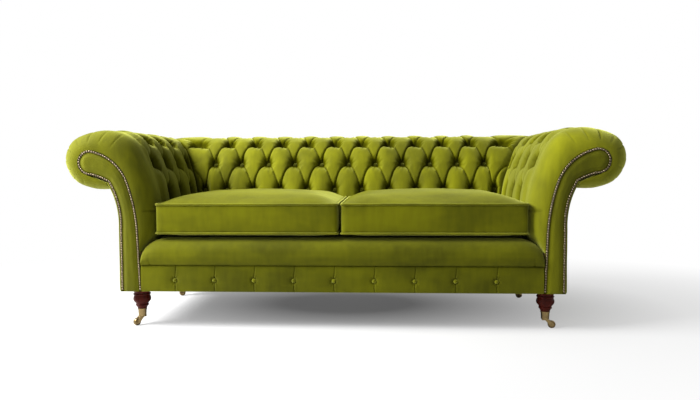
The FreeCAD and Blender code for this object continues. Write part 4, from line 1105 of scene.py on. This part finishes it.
def cushion_blank(name, side):
    """The cover as it is sewn: a boxed border between two seams, crowned above and below."""
    size = run("sofa_cushion")
    spans = (CUSHION_SIDE - CUSHION_EDGE, CUSHION_FAR - CUSHION_NEAR, UPPER_SEAM - LOWER_SEAM)
    counts = tuple(int(span / size.spacing) for span in spans)
    spots, faces = block_surface(counts)
    shares = spots / np.array(counts)
    above, below = shares[:, 2] == 1, shares[:, 2] == 0
    across = CUSHION_EDGE + shares[:, 0] * spans[0]
    along = CUSHION_NEAR + shares[:, 1] * spans[1]
    from_side, from_end = from_outline(across, along)
    swell = domed(from_side, CUSHION_SHOULDER) * domed(from_end, CUSHION_SHOULDER)
    up = LOWER_SEAM + shares[:, 2] * spans[2]
    up = np.where(above, up + size.crown * swell, up)
    up = np.where(below, up - CUSHION_UNDER * np.clip(1.6 * swell, 0, 1), up)
    corner = (from_side < PIPING_CORNER) & (from_end < PIPING_CORNER)
    inward = np.where(corner, PIPING_CORNER * (1 - math.sqrt(0.5)), 0.0)
    across = across + inward * np.sign(CUSHION_CENTRE[0] - across)
    along = along + inward * np.sign(CUSHION_CENTRE[1] - along)
    blank = make_object(name, joined(side * across, along, up), faces)
    outward_faces(blank)
    on_edge = (np.minimum(from_side, from_end) < 1e-6) & (above | below)
    seams = blank.vertex_groups.new(name="seams")
    seams.add(np.nonzero(on_edge)[0].tolist(), 1.0, "REPLACE")
    return blank


def read_vectors(mesh, kind="co"):
    """The place or the normal of every point of a mesh."""
    values = np.empty(len(mesh.vertices) * 3)
    mesh.vertices.foreach_get(kind, values)
    return values.reshape(-1, 3)


def move_points(mesh, places):
    mesh.vertices.foreach_set("co", places.ravel())


CUSHION_CLOTH = {"quality": 6, "mass": 0.35, "use_pressure": True, "tension_stiffness": 12.0,
                 "compression_stiffness": 12.0, "bending_stiffness": 1.2, "vertex_group_mass": "seams"}


def puff(made):
    """Let the filling press the cover out, held along its seams; the result stays in the mesh."""
    size = run("sofa_cushion")
    sewn = read_vectors(made.data)
    cover = made.modifiers.new("filling", "CLOTH")
    for name, value in CUSHION_CLOTH.items():
        setattr(cover.settings, name, value)
    cover.settings.uniform_pressure_force = size.pressure
    cover.settings.effector_weights.gravity = 0.0
    cover.point_cache.frame_start = 1
    cover.point_cache.frame_end = size.settle_frames
    for frame_number in range(1, size.settle_frames + 1):
        bpy.context.scene.frame_set(frame_number)
    evaluated = made.evaluated_get(bpy.context.evaluated_depsgraph_get())
    moved = read_vectors(evaluated.to_mesh()) - sewn
    evaluated.to_mesh_clear()
    made.modifiers.remove(cover)
    bpy.context.scene.frame_set(1)
    far = np.linalg.norm(moved, axis=1)[:, None]
    moved = moved * np.minimum(1.0, size.travel / np.maximum(far, 1e-9))
    move_points(made.data, sewn + moved)


def refined(made, levels):
    """The piece subdivided, with its modifier applied."""
    smooth = made.modifiers.new("smooth", "SUBSURF")
    smooth.levels = smooth.render_levels = levels
    finer = bpy.data.meshes.new_from_object(made.evaluated_get(bpy.context.evaluated_depsgraph_get()))
    made.modifiers.clear()
    made.data = finer
    return made


def seam_gathers(made):
    """Small puckers beside both seams, slack in the crown, the flat underside on the platform, and painted
    shade along the seams.
    """
    points = read_vectors(made.data)
    across, along, up = np.abs(points[:, 0]), points[:, 1], points[:, 2]
    from_side, from_end = from_outline(across, along)
    inset = np.minimum(from_side, from_end)
    from_seam = np.minimum(np.abs(up - UPPER_SEAM), np.abs(up - LOWER_SEAM)) + np.maximum(inset, 0)
    at_side = from_side < from_end
    run_along = np.where(at_side, along, across)
    ripple = np.sin(97 * run_along + 2.2 * np.sin(23 * run_along))
    ripple = ripple * (0.6 + 0.4 * np.sin(13 * run_along + 1.0))
    pucker = PUCKER_RISE * ripple * np.exp(-from_seam / PUCKER_REACH) * eased(from_seam, 0.0, 0.006)
    slack = CROWN_SLACK * wavering(8.5 * across, 7.5 * along, 6.0) * eased(inset, 0.01, 0.08)
    border = (up < UPPER_SEAM) & (up > LOWER_SEAM)
    outwards = np.sign(points[:, 0]) * np.sign(across - CUSHION_CENTRE[0])
    moved = joined(points[:, 0] + outwards * pucker * at_side * border,
                   along + np.sign(along - CUSHION_CENTRE[1]) * pucker * ~at_side * border,
                   np.maximum(up + np.where(up > UPPER_SEAM, pucker + slack, 0.0), CUSHION_FLOOR))
    move_points(made.data, moved)
    # Painted shade along both seams and in the troughs of the puckers.
    hollow = 0.5 * np.exp(-from_seam / 0.005) + 0.25 * np.clip(-ripple, 0, 1) * np.exp(-from_seam / 0.014)
    mark_painted_shade(made.data, hollow)
    made.data.polygons.foreach_set("use_smooth", [True] * len(made.data.polygons))
    made.data.update()


def feather_core(cushion, name):
    """The feather inner that fills a cover, a few millimetres inside it."""
    core = new_object(name, cushion.data.copy())
    outward_faces(core)
    move_points(core.data, read_vectors(core.data) - CORE_GAP * read_vectors(core.data, "normal"))
    return core


def rounded_rectangle(low, high, radius, spacing):
    """A closed line round a rectangle with round corners."""
    points = []
    centres = ((high[0] - radius, high[1] - radius, 0), (low[0] + radius, high[1] - radius, 90),
               (low[0] + radius, low[1] + radius, 180), (high[0] - radius, low[1] + radius, 270))
    for x, y, start in centres:
        for angle in np.radians(np.linspace(start, start + 90, 7)):
            points.append((x + radius * math.cos(angle), y + radius * math.sin(angle)))
    points.append(points[0])
    around = 2 * (high[0] - low[0] + high[1] - low[1])
    return resampled(np.array(points), int(around / spacing))[:-1]


def cord_loop(level, sides=12):
    """Rings of a covered cord round one seam of the right cushion."""
    path = rounded_rectangle((CUSHION_EDGE, CUSHION_NEAR), (CUSHION_SIDE, CUSHION_FAR), PIPING_CORNER,
                             0.006)
    outwards = -quarter_turned(np.roll(path, -1, axis=0) - np.roll(path, 1, axis=0))
    angles = np.linspace(0.0, 2 * math.pi, sides, endpoint=False)
    flat = path[:, None, :] + outwards[:, None, :] * (PIPING_RADIUS * np.cos(angles))[None, :, None]
    return joined(flat[..., 0], flat[..., 1], level + PIPING_RADIUS * np.sin(angles))


def cushion_cords(name, side):
    points, faces = [], []
    for level in (LOWER_SEAM, UPPER_SEAM):
        rings = cord_loop(level)
        rings[..., 0] *= side
        start = sum(len(part) for part in points)
        faces += [tuple(start + index for index in face)
                  for face in grid_faces(len(rings), rings.shape[1], closed_columns=True, closed_rows=True)]
        points.append(rings.reshape(-1, 3))
    return make_object(name, np.vstack(points), faces)


# Turned legs and castor wheels: radius and height pairs, in millimetres from the bottom
LEG_TURNING = [(14.2, -15), (14.2, 0), (17.2, 0), (17.6, 0.8), (21.6, 9), (23.4, 11.4), (25.0, 12.2),
               (25.7, 14), (25.7, 16), (25.0, 17.8), (23.6, 18.6), (24.2, 20.5), (27.0, 24.2),
               (31.0, 28.6), (33.8, 33.2), (34.9, 38.2), (34.7, 43), (33.4, 48), (31.4, 53.2),
               (30.9, 55.4), (32.2, 55.9), (33.8, 57.2), (34.4, 59.2), (33.8, 61.2), (32.2, 62.5),
               (30.8, 63), (31.2, 65.6), (32.8, 68.8), (35.2, 71.6), (36.4, 72.4), (37.2, 73.4),
               (37.4, 75.6), (37.2, 78.2), (36.4, 78.7)]
HALF_WHEEL = [(2.7, -7), (5.2, -7), (5.8, -6.6), (6.2, -5.4), (10.4, -5.2), (11.2, -5.9), (12.4, -6.9),
              (13.8, -6.6), (14.7, -5), (15, -2.4)]
WHEEL_TURNING = HALF_WHEEL + [(radius, -height) for radius, height in reversed(HALF_WHEEL)]


def metres(profile):
    return [(radius / 1000, height / 1000) for radius, height in profile]


def middle_of(node):
    low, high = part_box(node)
    return (low + high) / 2


def turned_leg(corner):
    middle = middle_of(corner + "_leg")
    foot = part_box(corner + "_leg")[0].z + 0.015
    return turned_mesh(corner + "_turned_leg", metres(LEG_TURNING), (middle.x, middle.y, foot), 72)


def castor_wheel(corner):
    """A brass wheel with a rounded tread and a raised hub, lying along its axle."""
    middle = middle_of(corner + "_castor_wheel")
    trail = middle - middle_of(corner + "_leg")
    trail.z = 0.0
    trail.normalize()
    axle = Vector((-trail.y, trail.x, 0.0))
    made = turned_mesh(corner + "_brass_wheel", metres(WHEEL_TURNING), (0, 0, 0), 56)
    turn = Matrix((trail, Vector((0, 0, 1)), axle)).transposed().to_4x4()
    made.data.transform(Matrix.Translation(middle) @ turn)
    return made


class SOFA_OT_facings(bpy.types.Operator):
    """Build the nailed facings at the front of the arms"""
    bl_idname = "sofa.facings"
    bl_label = "Nailed Facings"

    def execute(self, context):
        for name, side in SIDES.items():
            made = arm_facing(name + "_scroll_facing", side)
            dress(made, "sofa", finish_for("facing_velvet"), [name + "_arm_facing"])
        return {"FINISHED"}


class SOFA_OT_outer_covers(bpy.types.Operator):
    """Build the plain covers outside the arms and the back"""
    bl_idname = "sofa.outer_covers"
    bl_label = "Outer Covers"

    def execute(self, context):
        for name, side in SIDES.items():
            made = outer_arm_cover(name + "_outside_arm", side)
            dress(made, "sofa", finish_for("green_velvet"), [name + "_outer_arm_cover"])
        made = outer_back_cover("outside_back")
        dress(made, "sofa", finish_for("green_velvet"), ["outer_back_cover"])
        return {"FINISHED"}


class SOFA_OT_seat_front(bpy.types.Operator):
    """Build the front roll, the buttoned border and the platform of the seat"""
    bl_idname = "sofa.seat_front"
    bl_label = "Seat Front"

    def execute(self, context):
        seat, deck = finish_for("seat_velvet"), finish_for("deck_platform_cloth")
        roll = dress(lip_roll(), "sofa", seat, ["front_lip_roll"])
        border = dress(seat_border(), "sofa", seat, ["front_border"])
        platform = dress(deck_padding(), "sofa", deck, ["seat_deck_pad"])
        return {"FINISHED"}


class SOFA_OT_cushions(bpy.types.Operator):
    """Build the two loose seat cushions and their piping"""
    bl_idname = "sofa.cushions"
    bl_label = "Seat Cushions"

    def execute(self, context):
        for name, side in SIDES.items():
            cushion = cushion_blank(name + "_seat_cushion", side)
            puff(cushion)
            refined(cushion, 2)
            seam_gathers(cushion)
            core = feather_core(cushion, name + "_feather_core")
            cords = cushion_cords(name + "_seat_piping", side)
            body = name + "_cushion"
            dress(core, body, finish_for("feather_cambric"), [body + "_core"])
            dress(cushion, body, finish_for("cushion_velvet"), [body + "_cover"])
            dress(cords, body, finish_for("piping_velvet"), [body + "_piping"])
        return {"FINISHED"}


class SOFA_OT_legs(bpy.types.Operator):
    """Build the turned legs, and finish their castors"""
    bl_idname = "sofa.legs"
    bl_label = "Legs and Castors"

    def execute(self, context):
        wood, brass = finish_for("polished_mahogany"), finish_for("castor_brass")
        for corner in CORNERS:
            dress(turned_leg(corner), "sofa", wood, [corner + "_leg"])
            wheel = corner + "_castor_wheel"
            dress(castor_wheel(corner), corner + "_wheel", brass, [wheel])
            for node in (corner + "_castor_fork", corner + "_castor_axle"):
                finish_node(node, "castor_brass")
        finish_node("castor_cups", "castor_brass")
        return {"FINISHED"}


def finish_node(name, finish):
    """Give a node of the frame its finish; its shape stays as it is."""
    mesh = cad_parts[name].data
    mesh.materials.clear()
    mesh.materials.append(finish_for(finish))


# The pieces of the frame that keep their own shape, by finish
NODE_FINISHES = {
    "sawn_beech": ("front_rail", "back_rail", "left_side_rail", "right_side_rail", "centre_rail",
                   "corner_blocks", "left_scroll_board", "right_scroll_board", "arm_ribs", "back_ribs",
                   "corner_ribs", "left_arm_top_rail", "right_arm_top_rail", "back_top_rail"),
    # The tufted buttons take the darkest velvet as painted shade for their pits; the border buttons a lighter
    # one as painted light.
    "button_velvet": ("left_arm_buttons", "right_arm_buttons", "back_buttons"),
    "border_button_velvet": ("front_border_buttons",),
    "jute_hessian": ("arm_hessian", "back_hessian", "seat_hessian"),
    "black_dust_cloth": ("dust_cover",),
    "spring_steel": ("seat_springs", "spring_clips", "leg_bolts"),
    "antique_nail_brass": ("facing_nails",),
}


class SOFA_OT_frame_finishes(bpy.types.Operator):
    """Finish the pieces of the frame that keep their own shape"""
    bl_idname = "sofa.frame_finishes"
    bl_label = "Frame Finishes"

    def execute(self, context):
        for finish, nodes in NODE_FINISHES.items():
            for name in nodes:
                finish_node(name, finish)
        return {"FINISHED"}


WHITE = (1.0, 1.0, 1.0, 1.0)
FLOOR_REACH = 40.0
LAMP_SIZE = 2.2
LAMP_AIM = Vector((0.0, 0.0, 0.4))
WINDOW_PLACE = (-2.9, -1.15, 2.75)
FILL_PLACE = (-2.4, -2.6, 1.6)

# The camera that the photo's straight edges give: in metres, millimetres and radians
CAMERA_PLACE = (0.1723, FRONT - 2.4363, 0.6343)
CAMERA_LENS = 32.55
TURNED_LEFT = 0.0529
TIPPED_DOWN = 0.0522
ROLLED = -0.004


class SOFA_OT_stage(bpy.types.Operator):
    """Set the floor, the soft studio light and the camera"""
    bl_idname = "sofa.stage"
    bl_label = "Stage and Camera"

    def execute(self, context):
        scene = context.scene
        stage = run("sofa_stage")
        scene.view_settings.view_transform = "Standard"
        corners = [(x * FLOOR_REACH, y * FLOOR_REACH, 0) for x, y in ((-1, -1), (1, -1), (1, 1), (-1, 1))]
        floor = make_object("studio_floor", corners, [(0, 1, 2, 3)])
        floor.data.materials.append(self.floor_finish(stage))
        self.light_room(scene, stage)
        self.place_camera(scene)
        return {"FINISHED"}

    def floor_finish(self, stage):
        """A grey floor that glows white for camera rays: a tenth of it even under the sofa, which paints
        light into its shadow, rising to plain white away from the sofa.
        """
        made = Finish(bpy.data.materials.new("studio_floor"))
        near = made.node("ShaderNodeVectorMath", {"operation": "LENGTH"},
                         {0: made.stretched((1.0, 1.6, 1.0))}, output="Value")
        far = (made.spread(near, 0.3, 1.5) * 0.60 + made.spread(near, 1.5, 2.8) * 0.30 + 0.10).limited()
        lit = made.node("ShaderNodeBsdfDiffuse", {}, {"Color": tuple(stage.floor)})
        white = made.node("ShaderNodeEmission", {}, {"Color": WHITE, "Strength": 1.0})
        return made.ended(made.mixed(far * made.ray("Is Camera Ray"), lit, white))

    def light_room(self, scene, stage):
        """An even white room that lights the sofa weakly, and two large soft lamps."""
        made = Finish(bpy.data.worlds.new("white_room"))
        camera_ray = made.ray("Is Camera Ray")
        seen = camera_ray.maths("MAXIMUM", camera_ray, made.ray("Is Glossy Ray"))
        strength = made.node("ShaderNodeMapRange", {}, {"Value": seen, "To Min": stage.sky, "To Max": 1.0})
        room = made.node("ShaderNodeBackground", {}, {"Color": WHITE, "Strength": strength})
        scene.world = made.ended(room, "ShaderNodeOutputWorld")
        for name, place, power in (("window_light", WINDOW_PLACE, stage.key),
                                   ("camera_fill", FILL_PLACE, stage.fill)):
            lamp = bpy.data.lights.new(name, "AREA")
            lamp.shape = "SQUARE"
            lamp.size = LAMP_SIZE
            lamp.energy = power
            made = new_object(name, lamp)
            made.location = place
            made.rotation_euler = (LAMP_AIM - Vector(place)).to_track_quat("-Z", "Y").to_euler()

    def place_camera(self, scene):
        """The photographer stood right of the middle, turned a little left, at back height."""
        data = bpy.data.cameras.new("photo_camera")
        data.sensor_width = 36.0
        data.lens = CAMERA_LENS
        camera = new_object("photo_camera", data)
        ahead = Vector((-math.sin(TURNED_LEFT) * math.cos(TIPPED_DOWN),
                        math.cos(TURNED_LEFT) * math.cos(TIPPED_DOWN), -math.sin(TIPPED_DOWN)))
        level = Vector((math.cos(TURNED_LEFT), math.sin(TURNED_LEFT), 0.0))
        upright = level.cross(ahead)
        right = level * math.cos(ROLLED) + upright * math.sin(ROLLED)
        up = upright * math.cos(ROLLED) - level * math.sin(ROLLED)
        camera.matrix_world = Matrix((right, up, -ahead)).transposed().to_4x4()
        camera.location = CAMERA_PLACE
        scene.camera = camera


class SOFA_PT_builder(bpy.types.Panel):
    """The sofa's sizes, finishes and pieces"""
    bl_idname = "SOFA_PT_builder"
    bl_label = "Sofa"
    bl_space_type = "VIEW_3D"
    bl_region_type = "UI"
    bl_category = "Sofa"

    def draw(self, context):
        for group in SETTINGS:
            settings = getattr(context.scene, group)
            box = self.layout.box()
            for name in settings.bl_rna.properties.keys():
                if name not in ("rna_type", "name"):
                    box.prop(settings, name)
        for operator in OPERATORS:
            self.layout.operator(operator.bl_idname)


SETTINGS = {"sofa_padding": SofaPadding, "sofa_velvet": SofaVelvet, "sofa_cushion": SofaCushion,
            "sofa_stage": SofaStage}
OPERATORS = (SOFA_OT_stage, SOFA_OT_frame_finishes, SOFA_OT_arms, SOFA_OT_back, SOFA_OT_facings,
             SOFA_OT_outer_covers, SOFA_OT_seat_front, SOFA_OT_cushions, SOFA_OT_legs)


def register():
    for group, settings in SETTINGS.items():
        bpy.utils.register_class(settings)
        setattr(bpy.types.Scene, group, PointerProperty(type=settings))
    for operator in OPERATORS:
        bpy.utils.register_class(operator)
    bpy.utils.register_class(SOFA_PT_builder)


def unregister():
    bpy.utils.unregister_class(SOFA_PT_builder)
    for operator in reversed(OPERATORS):
        bpy.utils.unregister_class(operator)
    for group, settings in SETTINGS.items():
        delattr(bpy.types.Scene, group)
        bpy.utils.unregister_class(settings)


def main():
    register()
    for operator in OPERATORS:
        group, action = operator.bl_idname.split(".")
        getattr(getattr(bpy.ops, group), action)()


if __name__ == "__main__":
    main()
